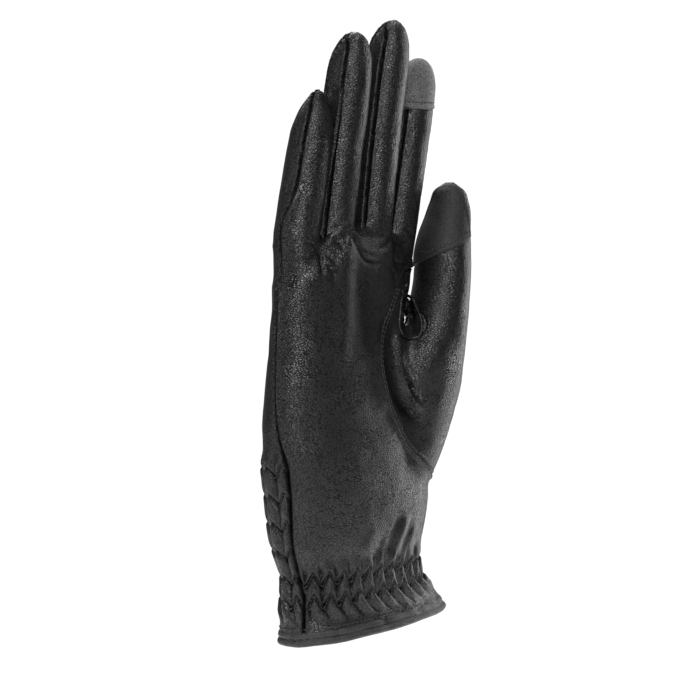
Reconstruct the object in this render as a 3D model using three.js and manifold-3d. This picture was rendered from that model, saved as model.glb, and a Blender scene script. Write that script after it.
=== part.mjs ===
// A right-hand leather riding glove, in the shape it has on a hand with straight, closed fingers.
// Millimetres. +Z runs to the fingertips, +X is the thumb side and -Y is the palm side.
// The origin is the middle of the cuff's mouth, where the hand goes in.
//
// The glove is one thin hollow hand, cut along its seams into the pieces that a glover sews:
// palm, back, three fourchettes between the fingers, thumb, the gusset in the thumb's crotch and
// two smooth fingertips for touch screens. A folded strip of leather binds the cuff.

import * as THREE from "three";
import { mergeVertices } from "three/addons/utils/BufferGeometryUtils.js";
import Module from "manifold-3d";

const wasm = await Module();
wasm.setup();

// Leather and seams
const WALL = 1.4;
const SEAM_GAP = 0.3;

// The hand, from the mouth to the roots of the fingers
const PALM_LENGTH = 148;
const PALM_WIDTH = 73;
const PALM_DEPTH = 26;
const MOUTH_TILT = 0.12; // rise of the hem for each millimetre towards the thumb
const TILT_FADE = 62; // height at which the sections are level again
const ROOT_FALL = 8; // how far the roots of the fingers fall away at the little finger

// Fingers and thumb: length above the palm, and width of the tube
const LITTLE_LENGTH = 54;
const RING_LENGTH = 77.2;
const MIDDLE_LENGTH = 83.8;
const INDEX_LENGTH = 71;
const LITTLE_WIDTH = 17;
const RING_WIDTH = 17.4;
const MIDDLE_WIDTH = 16.8;
const INDEX_WIDTH = 16.6;
const THUMB_TOP = 170.2;
const THUMB_WIDTH = 21.8;

// Seams
const FOURCHETTE_FRONT = 0.24; // before and behind a finger's middle line, as shares of its width
const FOURCHETTE_BACK = 0.22;
const FOURCHETTE_STOP = 8; // how far below a fingertip a fourchette ends
const FOURCHETTE_ROOT = 4; // how far it reaches below the crotch
const INDEX_TIP_LENGTH = 20;
const THUMB_TIP_LENGTH = 25;
const THUMB_TIP_SLOPE = 0.3; // the thumb tip's lower seam rises away from the palm
const THUMB_TURN = THREE.MathUtils.degToRad(48); // the ball of the thumb turns this far from the palm
const THUMB_PAD_TURN = THREE.MathUtils.degToRad(63);
const GUSSET_RADIUS = 8;
const GUSSET_HEIGHT = 112; // of the thumb's crotch

// Gathers round the wrist, in rows drawn in by zigzag seams
const GATHERS = 22;
const GATHER_SWELL = 1.1;
const GATHER_ROWS = [14, 21.6, 31, 40.5, 50, 59.5];

// Cuff binding
const BINDING_WIDTH = 4.6;
const BINDING_WALL = 1;

const AROUND_HAND = GATHERS * 3;
const AROUND_INSIDE = 32;
const AROUND_FINGER = 18;
const AROUND_FINGER_INSIDE = 14;
const SMOOTHING = 0.07; // facets that differ by less than this are joined
const FAR = 300; // half-size of a cutter, well past the glove

// Sections of the hand. up is a share of PALM_LENGTH, x and width of PALM_WIDTH, depth of PALM_DEPTH.
const HAND_SECTIONS = [
  { up: 0, x: 0.005, width: 1.14, depth: 1.36 },
  { up: 0.033, x: -0.02, width: 1.09, depth: 1.29 },
  { up: 0.067, x: -0.05, width: 1.02, depth: 1.2 },
  { up: 0.107, x: -0.08, width: 0.95, depth: 1.13 },
  { up: 0.16, x: -0.095, width: 0.93, depth: 1.12 },
  { up: 0.225, x: -0.105, width: 1.01, depth: 1.27 },
  { up: 0.327, x: -0.108, width: 1.085, depth: 1.36 },
  { up: 0.48, x: -0.155, width: 1.075, depth: 1.29 },
  { up: 0.6, x: -0.17, width: 1.03, depth: 1.18 },
  { up: 0.733, x: -0.175, width: 0.96, depth: 1.06 },
  { up: 0.833, x: -0.188, width: 0.91, depth: 0.98 },
  { up: 0.933, x: -0.185, width: 0.915, depth: 0.94 },
  { up: 0.97, x: -0.165, width: 0.91, depth: 0.87 },
  { up: 1.02, x: -0.13, width: 0.84, depth: 0.6 },
];
const PLAIN_LEVELS = [0, 0.025, 0.05, 0.45, 0.54, 0.64, 0.75, 0.84, 0.92, 0.965, 0.99, 1.02];
const INSIDE_LEVELS = [-0.12, 0.03, 0.08, 0.14, 0.2, 0.28, 0.4, 0.55, 0.7, 0.84, 0.93, 1.01];

// How a finger narrows to its tip: below and width are shares of the finger's width.
const SLIM_TIP = [
  { below: 2, width: 1 },
  { below: 1.2, width: 0.96 },
  { below: 0.75, width: 0.85 },
  { below: 0.43, width: 0.68 },
  { below: 0.2, width: 0.43 },
  { below: 0.03, width: 0.16 },
];
const ROUND_TIP = [
  { below: 1.6, width: 1 },
  { below: 1, width: 0.98 },
  { below: 0.62, width: 0.9 },
  { below: 0.36, width: 0.76 },
  { below: 0.14, width: 0.52 },
  { below: 0.03, width: 0.25 },
];

// Fingers, from the little one. Roots and tips are shares of PALM_WIDTH and PALM_DEPTH. As shares of
// a finger's own width, bow bends it towards the little finger at mid length, and sunk is how wide its
// tube still is at its low end inside the hand.
const LITTLE = {
  length: LITTLE_LENGTH, width: LITTLE_WIDTH, tipForm: SLIM_TIP, bow: 0, sunk: 1,
  root: { x: -0.495, y: 0.04 }, tip: { x: -0.35, y: 0 },
};
const RING = {
  length: RING_LENGTH, width: RING_WIDTH, tipForm: ROUND_TIP, bow: 0, sunk: 1,
  root: { x: -0.258, y: 0 }, tip: { x: -0.1, y: -0.08 },
};
const MIDDLE = {
  length: MIDDLE_LENGTH, width: MIDDLE_WIDTH, tipForm: ROUND_TIP, bow: 0.08, sunk: 1,
  root: { x: 0.014, y: -0.08 }, tip: { x: 0.205, y: -0.08 },
};
const INDEX = {
  length: INDEX_LENGTH, width: INDEX_WIDTH, tipForm: ROUND_TIP, bow: 0, sunk: 0.55,
  root: { x: 0.275, y: 0.07 }, tip: { x: 0.485, y: 0.08 },
};
const FINGERS = [LITTLE, RING, MIDDLE, INDEX];

// The thumb, from inside the heel of the hand to its tip. up counts from 0 at the mouth to 1 at the
// thumb's crotch and 2 at its tip, x is a share of PALM_WIDTH, y of PALM_DEPTH, and width and depth of
// THUMB_WIDTH.
const THUMB_SECTIONS = [
  { up: 0.356, x: 0.123, y: -0.077, width: 0.73, depth: 0.73 },
  { up: 0.436, x: 0.164, y: -0.096, width: 1.19, depth: 1.01 },
  { up: 0.508, x: 0.203, y: -0.115, width: 1.5, depth: 1.21 },
  { up: 0.641, x: 0.301, y: -0.154, width: 1.56, depth: 1.24 },
  { up: 0.778, x: 0.356, y: -0.212, width: 1.65, depth: 1.28 },
  { up: 0.915, x: 0.39, y: -0.269, width: 1.56, depth: 1.27 },
  { up: 1.03, x: 0.459, y: -0.3, width: 1.16, depth: 1.14 },
  { up: 1.167, x: 0.486, y: -0.308, width: 1.05, depth: 1.09 },
  { up: 1.304, x: 0.507, y: -0.312, width: 0.97, depth: 1.06 },
  { up: 1.561, x: 0.522, y: -0.312, width: 0.93, depth: 1.02 },
  { up: 1.664, x: 0.538, y: -0.312, width: 0.86, depth: 0.92 },
  { up: 1.766, x: 0.562, y: -0.312, width: 0.79, depth: 0.82 },
  { up: 1.868, x: 0.575, y: -0.312, width: 0.66, depth: 0.69 },
  { up: 1.956, x: 0.575, y: -0.312, width: 0.46, depth: 0.48 },
  { up: 1.994, x: 0.575, y: -0.312, width: 0.18, depth: 0.2 },
];

// Where the seam between palm and back lies: y is a share of PALM_DEPTH, up of PALM_LENGTH.
const SIDE_SEAM = [
  { up: -0.2, y: -0.2 },
  { up: 0.16, y: -0.19 },
  { up: 0.48, y: -0.17 },
  { up: 0.6, y: -0.06 },
  { up: 0.73, y: 0.03 },
  { up: 0.9, y: 0 },
  { up: 1.06, y: -0.13 },
  { up: 1.8, y: -0.13 },
];

// The seam round the ball of the thumb. across is a share of PALM_WIDTH, up counts as on the thumb.
const THUMB_SEAM_PALM = [
  { across: 0.45, up: 1.428 },
  { across: 0.3, up: 1.402 },
  { across: 0.15, up: 1.313 },
  { across: 0.055, up: 1.174 },
  { across: -0.03, up: 1.008 },
  { across: -0.08, up: 0.881 },
  { across: -0.045, up: 0.776 },
  { across: 0.078, up: 0.634 },
  { across: 0.2, up: 0.562 },
  { across: 0.36, up: 0.502 },
  { across: 0.6, up: 0.462 },
];
const THUMB_SEAM_BACK = [
  { across: 0.45, up: 1.428 },
  { across: 0.3, up: 1.364 },
  { across: 0.21, up: 1.186 },
  { across: 0.165, up: 0.965 },
  { across: 0.16, up: 0.832 },
  { across: 0.21, up: 0.687 },
  { across: 0.3, up: 0.568 },
  { across: 0.6, up: 0.462 },
];

const TO_THUMB = new THREE.Vector3(1, 0, 0);
const TO_BACK = new THREE.Vector3(0, 1, 0);
const BALL_ACROSS = new THREE.Vector3(Math.cos(THUMB_TURN), -Math.sin(THUMB_TURN), 0);
const PAD_BEHIND = new THREE.Vector3(Math.sin(THUMB_PAD_TURN), Math.cos(THUMB_PAD_TURN), 0);

// A smooth value from a table: key is the column to look along and name the column to read.
function read(table, key, at, name) {
  const keys = table.map((row) => row[key]);
  const curve = new THREE.CubicInterpolant(keys, table.map((row) => row[name]), 1);
  return curve.evaluate(THREE.MathUtils.clamp(at, keys[0], keys[keys.length - 1]))[0];
}

// A closed loop of points with soft corners round (x, y), counted from +X.
function ring(count, x, y, halfWidth, halfDepth, squareness) {
  const soft = (v) => Math.sign(v) * Math.abs(v) ** (2 / squareness);
  return Array.from({ length: count }, (_, i) => {
    const angle = (2 * Math.PI * i) / count;
    return [x + halfWidth * soft(Math.cos(angle)), y + halfDepth * soft(Math.sin(angle))];
  });
}

function manifold(points, faces) {
  const mesh = { numProp: 3, vertProperties: new Float32Array(points), triVerts: new Uint32Array(faces) };
  return new wasm.Manifold(new wasm.Mesh(mesh));
}

// A solid through closed loops of points, from the lowest loop to the highest.
function loft(loops) {
  const count = loops[0].length;
  const points = loops.flat();
  const top = (loops.length - 1) * count;
  const middle = (loop) => [0, 1, 2].map((n) => loop.reduce((sum, p) => sum + p[n], 0) / count);
  points.push(middle(loops[0]), middle(loops[loops.length - 1]));
  const faces = [];
  for (let i = 0; i < count; i++) {
    const next = (i + 1) % count;
    for (let k = 0; k < top; k += count) {
      faces.push([k + i, k + next, k + count + next], [k + i, k + count + next, k + count + i]);
    }
    faces.push([points.length - 2, next, i], [points.length - 1, top + i, top + next]);
  }
  return manifold(points.flat(), faces.flat());
}

// A solid made from a three.js geometry.
function solidOf(geometry) {
  geometry.deleteAttribute("normal");
  geometry.deleteAttribute("uv");
  const merged = mergeVertices(geometry, 1e-4);
  return manifold(merged.attributes.position.array, merged.index.array);
}

// A long prism. Its outline lies in the plane of the directions across and +Z.
function prism(outline, across) {
  const shape = new THREE.Shape(outline.map(([u, v]) => new THREE.Vector2(u, v)));
  const geometry = new THREE.ExtrudeGeometry(shape, { depth: 2 * FAR, bevelEnabled: false });
  geometry.translate(0, 0, -FAR);
  const up = new THREE.Vector3(0, 0, 1);
  geometry.applyMatrix4(new THREE.Matrix4().makeBasis(across, up, new THREE.Vector3().crossVectors(across, up)));
  return solidOf(geometry);
}

// Everything on the low side of a line that climbs from the bottom to the top of the glove.
function before(line, across) {
  const [first, last] = [line[0], line[line.length - 1]];
  return prism([[-FAR, -FAR], [first[0], -FAR], ...line, [last[0], FAR], [-FAR, FAR]], across);
}

// Height of a point of a hand section: sections tilt at the mouth and fall off at the finger roots.
function handHeight(up, x) {
  const z = up * PALM_LENGTH;
  const tilt = MOUTH_TILT * x * THREE.MathUtils.clamp(1 - z / TILT_FADE, 0, 1);
  const off = (x + 0.04 * PALM_WIDTH) / (0.42 * PALM_WIDTH);
  return z + tilt - ROOT_FALL * off ** 2 * THREE.MathUtils.smoothstep(up, 0.85, 1);
}

// How far the leather puffs out at a height and at step i round the wrist. It lies flat along each sewn
// row and in each third step between rows. sin is -1 in the middle of the palm, where only the two
// lowest rows gather it, and 1 in the middle of the back.
function puff(z, i, sin) {
  const row = GATHER_ROWS.findIndex((height) => z <= height + SMOOTHING);
  const sewn = row < 0 || Math.abs(GATHER_ROWS[row] - z) < SMOOTHING;
  if (sewn || z < 2 * BINDING_WIDTH) return 0;
  const palm = THREE.MathUtils.smoothstep(-sin, -0.2, 0.4);
  const fade = row > 2 ? 1 - palm : 1;
  return GATHER_SWELL * fade * ((i + row) % 3 === 0 ? 0.15 : 1);
}

// Heights of the hand's loops: each sewn row, midway between rows, and the plain ones.
const halfways = GATHER_ROWS.slice(1).map((height, i) => (height + GATHER_ROWS[i]) / 2);
const HAND_LEVELS = [...PLAIN_LEVELS, ...[...GATHER_ROWS, ...halfways].map((height) => height / PALM_LENGTH)]
  .sort((a, b) => a - b);

// The hand without its fingers, grown outwards by grow.
function handSolid(grow, levels, around, gathered) {
  const shape = ring(around, 0, 0, 1, 1, 2.3);
  return loft(
    levels.map((up) => {
      const x = read(HAND_SECTIONS, "up", up, "x") * PALM_WIDTH;
      const halfWidth = (read(HAND_SECTIONS, "up", up, "width") * PALM_WIDTH) / 2;
      const halfDepth = (read(HAND_SECTIONS, "up", up, "depth") * PALM_DEPTH) / 2;
      return shape.map(([c, s], i) => {
        const out = grow + (gathered ? puff(up * PALM_LENGTH, i, s) : 0);
        const px = x + c * (halfWidth + out);
        return [px, s * (halfDepth + out), handHeight(up, px)];
      });
    }),
  );
}

// A finger's middle line at a height above the palm.
function fingerLine(finger, height) {
  const share = THREE.MathUtils.clamp(height / finger.length, 0, 1);
  const mix = (name, size) => THREE.MathUtils.lerp(finger.root[name], finger.tip[name], share) * size;
  return [mix("x", PALM_WIDTH) - finger.bow * finger.width * 4 * share * (1 - share), mix("y", PALM_DEPTH)];
}

// A finger's tube, grown outwards by grow, from inside the hand to its closed tip.
function fingerSolid(finger, grow, around) {
  const straight = finger.length - finger.width * finger.tipForm[0].below;
  const levels = [0, 0.5 * straight].map((height) => ({ height, width: 1 }));
  levels.unshift({ height: -0.2 * PALM_LENGTH, width: finger.sunk });
  for (const row of finger.tipForm)
    levels.push({ height: finger.length - row.below * finger.width, width: row.width });
  return loft(
    levels.map(({ height, width }) => {
      const [x, y] = fingerLine(finger, height);
      const half = Math.max((width * finger.width) / 2 + grow, 0.02 * finger.width);
      const z = PALM_LENGTH + height + (width < 0.6 ? grow : 0);
      return ring(around, x, y, half, half, 2.15).map(([px, py]) => [px, py, z]);
    }),
  );
}

// Height of a point of the thumb or its seams.
function thumbHeight(up) {
  return up < 1 ? up * GUSSET_HEIGHT : THREE.MathUtils.lerp(GUSSET_HEIGHT, THUMB_TOP, up - 1);
}

function thumbSolid(grow, around) {
  return loft(
    THUMB_SECTIONS.map((row) => {
      const [halfWidth, halfDepth] = [row.width, row.depth].map((share) =>
        Math.max((share * THUMB_WIDTH) / 2 + grow, 0.02 * THUMB_WIDTH),
      );
      const z = thumbHeight(row.up) + (row.up > 1.85 ? grow : 0);
      const loop = ring(around, row.x * PALM_WIDTH, row.y * PALM_DEPTH, halfWidth, halfDepth, 2.1);
      return loop.map(([px, py]) => [px, py, z]);
    }),
  );
}

// The whole hollow glove
const inside = FINGERS.reduce(
  (sum, finger) => sum.add(fingerSolid(finger, -WALL, AROUND_FINGER_INSIDE)),
  handSolid(-WALL, INSIDE_LEVELS, AROUND_INSIDE, false).add(thumbSolid(-WALL, AROUND_FINGER_INSIDE)),
);
const outside = FINGERS.reduce(
  (sum, finger) => sum.add(fingerSolid(finger, 0, AROUND_FINGER)),
  handSolid(0, HAND_LEVELS, AROUND_HAND, true).add(thumbSolid(0, AROUND_FINGER)),
);
const glove = outside.subtract(inside);

// Cutters. Each is made for a piece with offset -half of the gap, and for its neighbours with +half.
const half = SEAM_GAP / 2;

function palmSide(offset) {
  return before(SIDE_SEAM.map((row) => [row.y * PALM_DEPTH + offset, row.up * PALM_LENGTH]), TO_BACK);
}

// The thumb's side of a seam round its ball.
function thumbSide(seam, offset) {
  const knots = seam.map((row) => new THREE.Vector2(row.across * PALM_WIDTH, thumbHeight(row.up)));
  const curve = new THREE.SplineCurve(knots);
  const steps = 2 * seam.length;
  const line = Array.from({ length: steps + 1 }, (_, i) => {
    const [p, t] = [curve.getPoint(i / steps), curve.getTangent(i / steps)];
    return [p.x + t.y * offset, p.y - t.x * offset];
  });
  return prism([[FAR, line[0][1]], ...line, [FAR, line[steps][1]]], TO_THUMB);
}

// Everything over a height.
function over(z) {
  return prism([[-FAR, z], [FAR, z], [FAR, FAR], [-FAR, FAR]], TO_THUMB);
}

// Everything under the hem's line, raised by a height.
function underHem(height) {
  const z = (x) => MOUTH_TILT * x + height;
  return prism([[-FAR, -FAR], [FAR, -FAR], [FAR, z(FAR)], [-FAR, z(-FAR)]], TO_THUMB);
}

// The strip between two neighbouring fingers, which holds the walls that face each other.
function betweenFingers(left, right, offset) {
  const side = (finger) =>
    [0, 0.5, 1].map((share) => {
      const height = share * (finger.length - FOURCHETTE_STOP + offset);
      return [fingerLine(finger, height)[0], PALM_LENGTH + height];
    });
  const [leftLine, rightLine] = [side(left), side(right)];
  const floor = handHeight(1, (leftLine[0][0] + rightLine[0][0]) / 2) - FOURCHETTE_ROOT - offset;
  const width = (left.width + right.width) / 2;
  const y = (fingerLine(left, left.length / 2)[1] + fingerLine(right, left.length / 2)[1]) / 2;
  const front = y - FOURCHETTE_FRONT * width - offset;
  const back = y + FOURCHETTE_BACK * width + offset;
  const strip = [[leftLine[0][0], floor], [rightLine[0][0], floor], ...rightLine, ...leftLine.reverse()];
  const depth = prism([[front, -FAR], [back, -FAR], [back, FAR], [front, FAR]], TO_BACK);
  return prism(strip, TO_THUMB).intersect(depth);
}

// The end of the index finger over its tip's seam.
function indexEnd(offset) {
  const tube = fingerSolid(INDEX, 2 * half, AROUND_FINGER);
  return tube.intersect(over(PALM_LENGTH + INDEX_LENGTH - INDEX_TIP_LENGTH - offset));
}

// The pad at the end of the thumb, over its lower seam and before its side seam.
function thumbPad(offset) {
  const tip = THUMB_SECTIONS[THUMB_SECTIONS.length - 1];
  const middle = new THREE.Vector3(tip.x * PALM_WIDTH, tip.y * PALM_DEPTH, 0);
  const u = middle.dot(BALL_ACROSS);
  const line = [-FAR, FAR].map((reach) => [
    u + reach, THUMB_TOP - THUMB_TIP_LENGTH + THUMB_TIP_SLOPE * reach - offset,
  ]);
  const upper = prism([line[0], line[1], [line[1][0], 2 * FAR], [line[0][0], 2 * FAR]], BALL_ACROSS);
  const v = middle.dot(PAD_BEHIND) - 0.1 * THUMB_WIDTH + offset;
  const tube = thumbSolid(2 * half, AROUND_FINGER);
  return tube.intersect(upper).intersect(before([[v, 0], [v, THUMB_TOP]], PAD_BEHIND));
}

// The ball round the thumb's crotch, where the hand's edge meets the thumb.
function crotchBall(offset) {
  const up = GUSSET_HEIGHT / PALM_LENGTH;
  const edge = read(HAND_SECTIONS, "up", up, "x") + read(HAND_SECTIONS, "up", up, "width") / 2;
  const geometry = new THREE.IcosahedronGeometry(GUSSET_RADIUS + offset, 3);
  geometry.translate(edge * PALM_WIDTH, -0.2 * PALM_DEPTH, GUSSET_HEIGHT);
  return solidOf(geometry);
}

// Everything that belongs to the thumb.
function thumbRoom(offset) {
  const front = thumbSide(THUMB_SEAM_PALM, offset).intersect(palmSide(half));
  const behind = thumbSide(THUMB_SEAM_BACK, offset).subtract(palmSide(-half));
  const tube = thumbSolid(2 * half, AROUND_FINGER).intersect(over(thumbHeight(THUMB_SEAM_PALM[0].up) - WALL));
  return front.add(behind).add(tube);
}

// A piece with other rooms taken out of it.
function without(solid, rooms) {
  return rooms.reduce((rest, room) => rest.subtract(room), solid);
}

const PAIRS = {
  fourchette_little_ring: [LITTLE, RING],
  fourchette_ring_middle: [RING, MIDDLE],
  fourchette_middle_index: [MIDDLE, INDEX],
};
const walls = Object.values(PAIRS).map(([left, right]) => betweenFingers(left, right, half));
const hem = underHem(BINDING_WALL + SEAM_GAP);
const taken = [thumbRoom(half), indexEnd(half), crotchBall(half), hem, ...walls];

const pieces = {
  palm: without(glove.intersect(palmSide(-half)), taken),
  back: without(glove.subtract(palmSide(half)), taken),
  thumb: without(glove.intersect(thumbRoom(-half)), [thumbPad(half), crotchBall(half)]),
  thumb_gusset: glove.intersect(crotchBall(-half)),
  thumb_touch_tip: glove.intersect(thumbPad(-half)),
  index_touch_tip: glove.intersect(indexEnd(-half)),
  cuff_binding: binding(),
};
for (const [name, [left, right]] of Object.entries(PAIRS))
  pieces[name] = glove.intersect(betweenFingers(left, right, -half)).subtract(indexEnd(half));

// A strip folded over the edge of the mouth, outside and inside.
function binding() {
  const levels = HAND_LEVELS.filter((up) => up * PALM_LENGTH < 3 * BINDING_WIDTH);
  const grown = (by) => handSolid(by, levels, AROUND_HAND, false);
  const sunk = (by) => handSolid(by, INSIDE_LEVELS, AROUND_INSIDE, false);
  const strip = grown(SEAM_GAP + BINDING_WALL).subtract(sunk(-WALL - SEAM_GAP - BINDING_WALL));
  const slot = grown(SEAM_GAP).subtract(sunk(-WALL - SEAM_GAP)).subtract(underHem(BINDING_WALL));
  return strip.subtract(slot).intersect(underHem(BINDING_WIDTH));
}

const LEATHER = { color: 0x161616, roughness: 0.42, metalness: 0 };
const LOOKS = {
  thumb_touch_tip: { color: 0x1b1b1c, roughness: 0.7, metalness: 0 },
  index_touch_tip: { color: 0x1f1f20, roughness: 0.85, metalness: 0 },
  cuff_binding: { color: 0x131313, roughness: 0.5, metalness: 0 },
};

const group = new THREE.Group();
for (const [name, solid] of Object.entries(pieces)) {
  // A cut can leave crumbs beside a piece; the piece is the largest body.
  const body = solid.decompose().sort((a, b) => b.volume() - a.volume())[0].simplify(SMOOTHING);
  const { vertProperties, triVerts } = body.getMesh();
  const geometry = new THREE.BufferGeometry();
  geometry.setAttribute("position", new THREE.BufferAttribute(new Float32Array(vertProperties), 3));
  geometry.setIndex(new THREE.BufferAttribute(new Uint32Array(triVerts), 1));
  geometry.computeVertexNormals();
  const mesh = new THREE.Mesh(geometry, new THREE.MeshStandardMaterial(LOOKS[name] ?? LEATHER));
  mesh.name = name;
  group.add(mesh);
}

export default group;
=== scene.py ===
"""A right-hand riding glove of black grained leather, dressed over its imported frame.

The glove stands with its fingers up and its palm to the viewer, in the shape it has on a hand.
Lengths are in millimetres until a mesh is made, and +Z runs to the fingertips, +X to the thumb.
"""

import logging
import math
from dataclasses import dataclass, field
from enum import Enum
from typing import Callable, Sequence

import bpy
import numpy as np
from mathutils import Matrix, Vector, noise
from mathutils.bvhtree import BVHTree
from mathutils.kdtree import KDTree


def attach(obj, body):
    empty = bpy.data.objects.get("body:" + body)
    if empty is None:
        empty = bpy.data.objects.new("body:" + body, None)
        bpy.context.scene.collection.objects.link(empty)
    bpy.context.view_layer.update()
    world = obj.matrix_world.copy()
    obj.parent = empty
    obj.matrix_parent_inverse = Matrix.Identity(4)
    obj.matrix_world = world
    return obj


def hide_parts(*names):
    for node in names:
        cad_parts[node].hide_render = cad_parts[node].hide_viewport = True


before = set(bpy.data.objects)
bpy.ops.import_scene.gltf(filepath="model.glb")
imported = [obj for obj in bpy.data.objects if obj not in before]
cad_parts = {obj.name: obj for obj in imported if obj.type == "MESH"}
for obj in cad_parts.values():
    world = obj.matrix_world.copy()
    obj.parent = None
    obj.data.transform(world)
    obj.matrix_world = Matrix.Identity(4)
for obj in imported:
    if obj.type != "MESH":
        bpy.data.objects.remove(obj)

LOG = logging.getLogger("riding_glove")
MM = 0.001
Array = np.ndarray
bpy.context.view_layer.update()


class Panel(Enum):
    """The leather pieces that the glove is sewn from; each value is also the piece's name."""

    PALM = "palm"
    BACK = "back"
    THUMB = "thumb"
    GUSSET = "thumb_gusset"
    THUMB_TIP = "thumb_touch_tip"
    INDEX_TIP = "index_touch_tip"
    LITTLE_RING = "fourchette_little_ring"
    RING_MIDDLE = "fourchette_ring_middle"
    MIDDLE_INDEX = "fourchette_middle_index"


class Seam(Enum):
    """How two panels are joined."""

    TURNED = "turned"
    LAPPED = "lapped"
    HEMMED = "hemmed"


# tables of the form


@dataclass(frozen=True)
class Section:
    """One section of the hand or thumb. Shares of the sizes in GloveSizes."""

    up: float
    x: float
    y: float
    width: float
    depth: float


@dataclass(frozen=True)
class TipRow:
    """How wide a finger is below its tip; both are shares of the finger's width."""

    below: float
    width: float


@dataclass(frozen=True)
class Finger:
    """A finger's tube, from its root on the palm to its tip."""

    name: str
    length: float
    width: float
    root: tuple[float, float]
    tip: tuple[float, float]
    form: tuple[TipRow, ...]
    bow: float
    sunk: float
    spread: float


@dataclass(frozen=True)
class Knot:
    """A point of a seam: across is a share of the palm's width, or of its depth for the side seam."""

    across: float
    up: float


HAND = tuple(
    Section(up, x, 0.0, width, depth)
    for up, x, width, depth in (
        (0, 0.005, 1.14, 1.36),
        (0.033, -0.02, 1.09, 1.29),
        (0.067, -0.05, 1.02, 1.2),
        (0.107, -0.08, 0.95, 1.13),
        (0.16, -0.095, 0.93, 1.12),
        (0.225, -0.105, 1.01, 1.27),
        (0.327, -0.108, 1.085, 1.36),
        (0.48, -0.155, 1.075, 1.29),
        (0.6, -0.17, 1.03, 1.18),
        (0.733, -0.175, 0.96, 1.06),
        (0.833, -0.188, 0.91, 0.98),
        (0.933, -0.185, 0.915, 0.94),
        (0.97, -0.165, 0.91, 0.87),
        (1.02, -0.13, 0.84, 0.6),
    )
)
THUMB = tuple(
    Section(*row)
    for row in (
        (0.356, 0.123, -0.077, 0.73, 0.73),
        (0.436, 0.164, -0.096, 1.19, 1.01),
        (0.508, 0.203, -0.115, 1.5, 1.21),
        (0.641, 0.301, -0.154, 1.56, 1.24),
        (0.778, 0.356, -0.212, 1.65, 1.28),
        (0.915, 0.39, -0.269, 1.56, 1.27),
        (1.03, 0.459, -0.3, 1.16, 1.14),
        (1.167, 0.486, -0.308, 1.05, 1.09),
        (1.304, 0.507, -0.312, 0.97, 1.06),
        (1.561, 0.522, -0.312, 0.93, 1.02),
        (1.664, 0.538, -0.312, 0.86, 0.92),
        (1.766, 0.562, -0.312, 0.79, 0.82),
        (1.868, 0.575, -0.312, 0.66, 0.69),
        (1.956, 0.575, -0.312, 0.46, 0.48),
        (1.994, 0.575, -0.312, 0.18, 0.2),
    )
)
SLIM_TIP = tuple(
    TipRow(*row)
    for row in ((0.0, 0.06), (0.03, 0.16), (0.2, 0.43), (0.43, 0.68), (0.75, 0.85), (1.2, 0.96), (2, 1))
)
ROUND_TIP = tuple(
    TipRow(*row)
    for row in ((0.0, 0.1), (0.03, 0.25), (0.14, 0.52), (0.36, 0.76), (0.62, 0.9), (1, 0.98), (1.6, 1))
)
FINGERS = (
    Finger("little", 54.0, 17.0, (-0.495, 0.04), (-0.35, 0.0), SLIM_TIP, 0.0, 1.0, -3),
    Finger("ring", 77.2, 17.4, (-0.258, 0.0), (-0.1, -0.08), ROUND_TIP, 0.0, 1.0, -2),
    Finger("middle", 83.8, 16.8, (0.014, -0.08), (0.205, -0.08), ROUND_TIP, 0.08, 1.0, -1),
    Finger("index", 71.0, 16.6, (0.275, 0.07), (0.485, 0.08), ROUND_TIP, 0.0, 0.55, 0),
)
INDEX = FINGERS[3]
SIDE_SEAM = tuple(
    Knot(*row)
    for row in (
        (-0.2, -0.2), (-0.222, 0.033), (-0.205, 0.09), (-0.15, 0.14), (-0.15, 0.18), (-0.19, 0.27),
        (-0.218, 0.38), (-0.21, 0.42), (-0.15, 0.46), (-0.08, 0.52), (0.0, 0.65), (0.05, 0.9), (0.04, 1.06),
    )
)
THUMB_SEAM_PALM = tuple(
    Knot(*row)
    for row in (
        (0.45, 1.428), (0.3, 1.402), (0.15, 1.313), (0.055, 1.174), (-0.03, 1.008), (-0.08, 0.881),
        (-0.045, 0.776), (0.078, 0.634), (0.2, 0.562), (0.36, 0.502), (0.6, 0.462),
    )
)
THUMB_SEAM_BACK = tuple(
    Knot(*row)
    for row in (
        (0.45, 1.428), (0.3, 1.364), (0.21, 1.186), (0.165, 0.965), (0.16, 0.832), (0.21, 0.687),
        (0.3, 0.568), (0.6, 0.462),
    )
)


@dataclass(frozen=True)
class GloveSizes:
    """The sizes that the tables' shares are taken of, in millimetres."""

    palm_length: float = 148.0
    palm_width: float = 73.0
    palm_depth: float = 26.0
    mouth_tilt: float = 0.12
    tilt_fade: float = 62.0
    root_fall: float = 8.0
    root_middle: float = -0.04
    root_reach: float = 0.42
    hand_to: float = 27.0
    thumb_top: float = 170.2
    thumb_width: float = 21.8
    crotch_height: float = 112.0
    index_tip_length: float = 20.0
    thumb_tip_length: float = 25.0
    thumb_tip_slope: float = 0.3
    gusset_radius: float = 8.0
    wall: float = 1.2
    hem_height: float = 1.3


SIZES = GloveSizes()


# small helpers


def column(table: Sequence[object], name: str) -> Array:
    """Returns one named column of a table as an array."""
    return np.array([getattr(row, name) for row in table], dtype=float)


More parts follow.
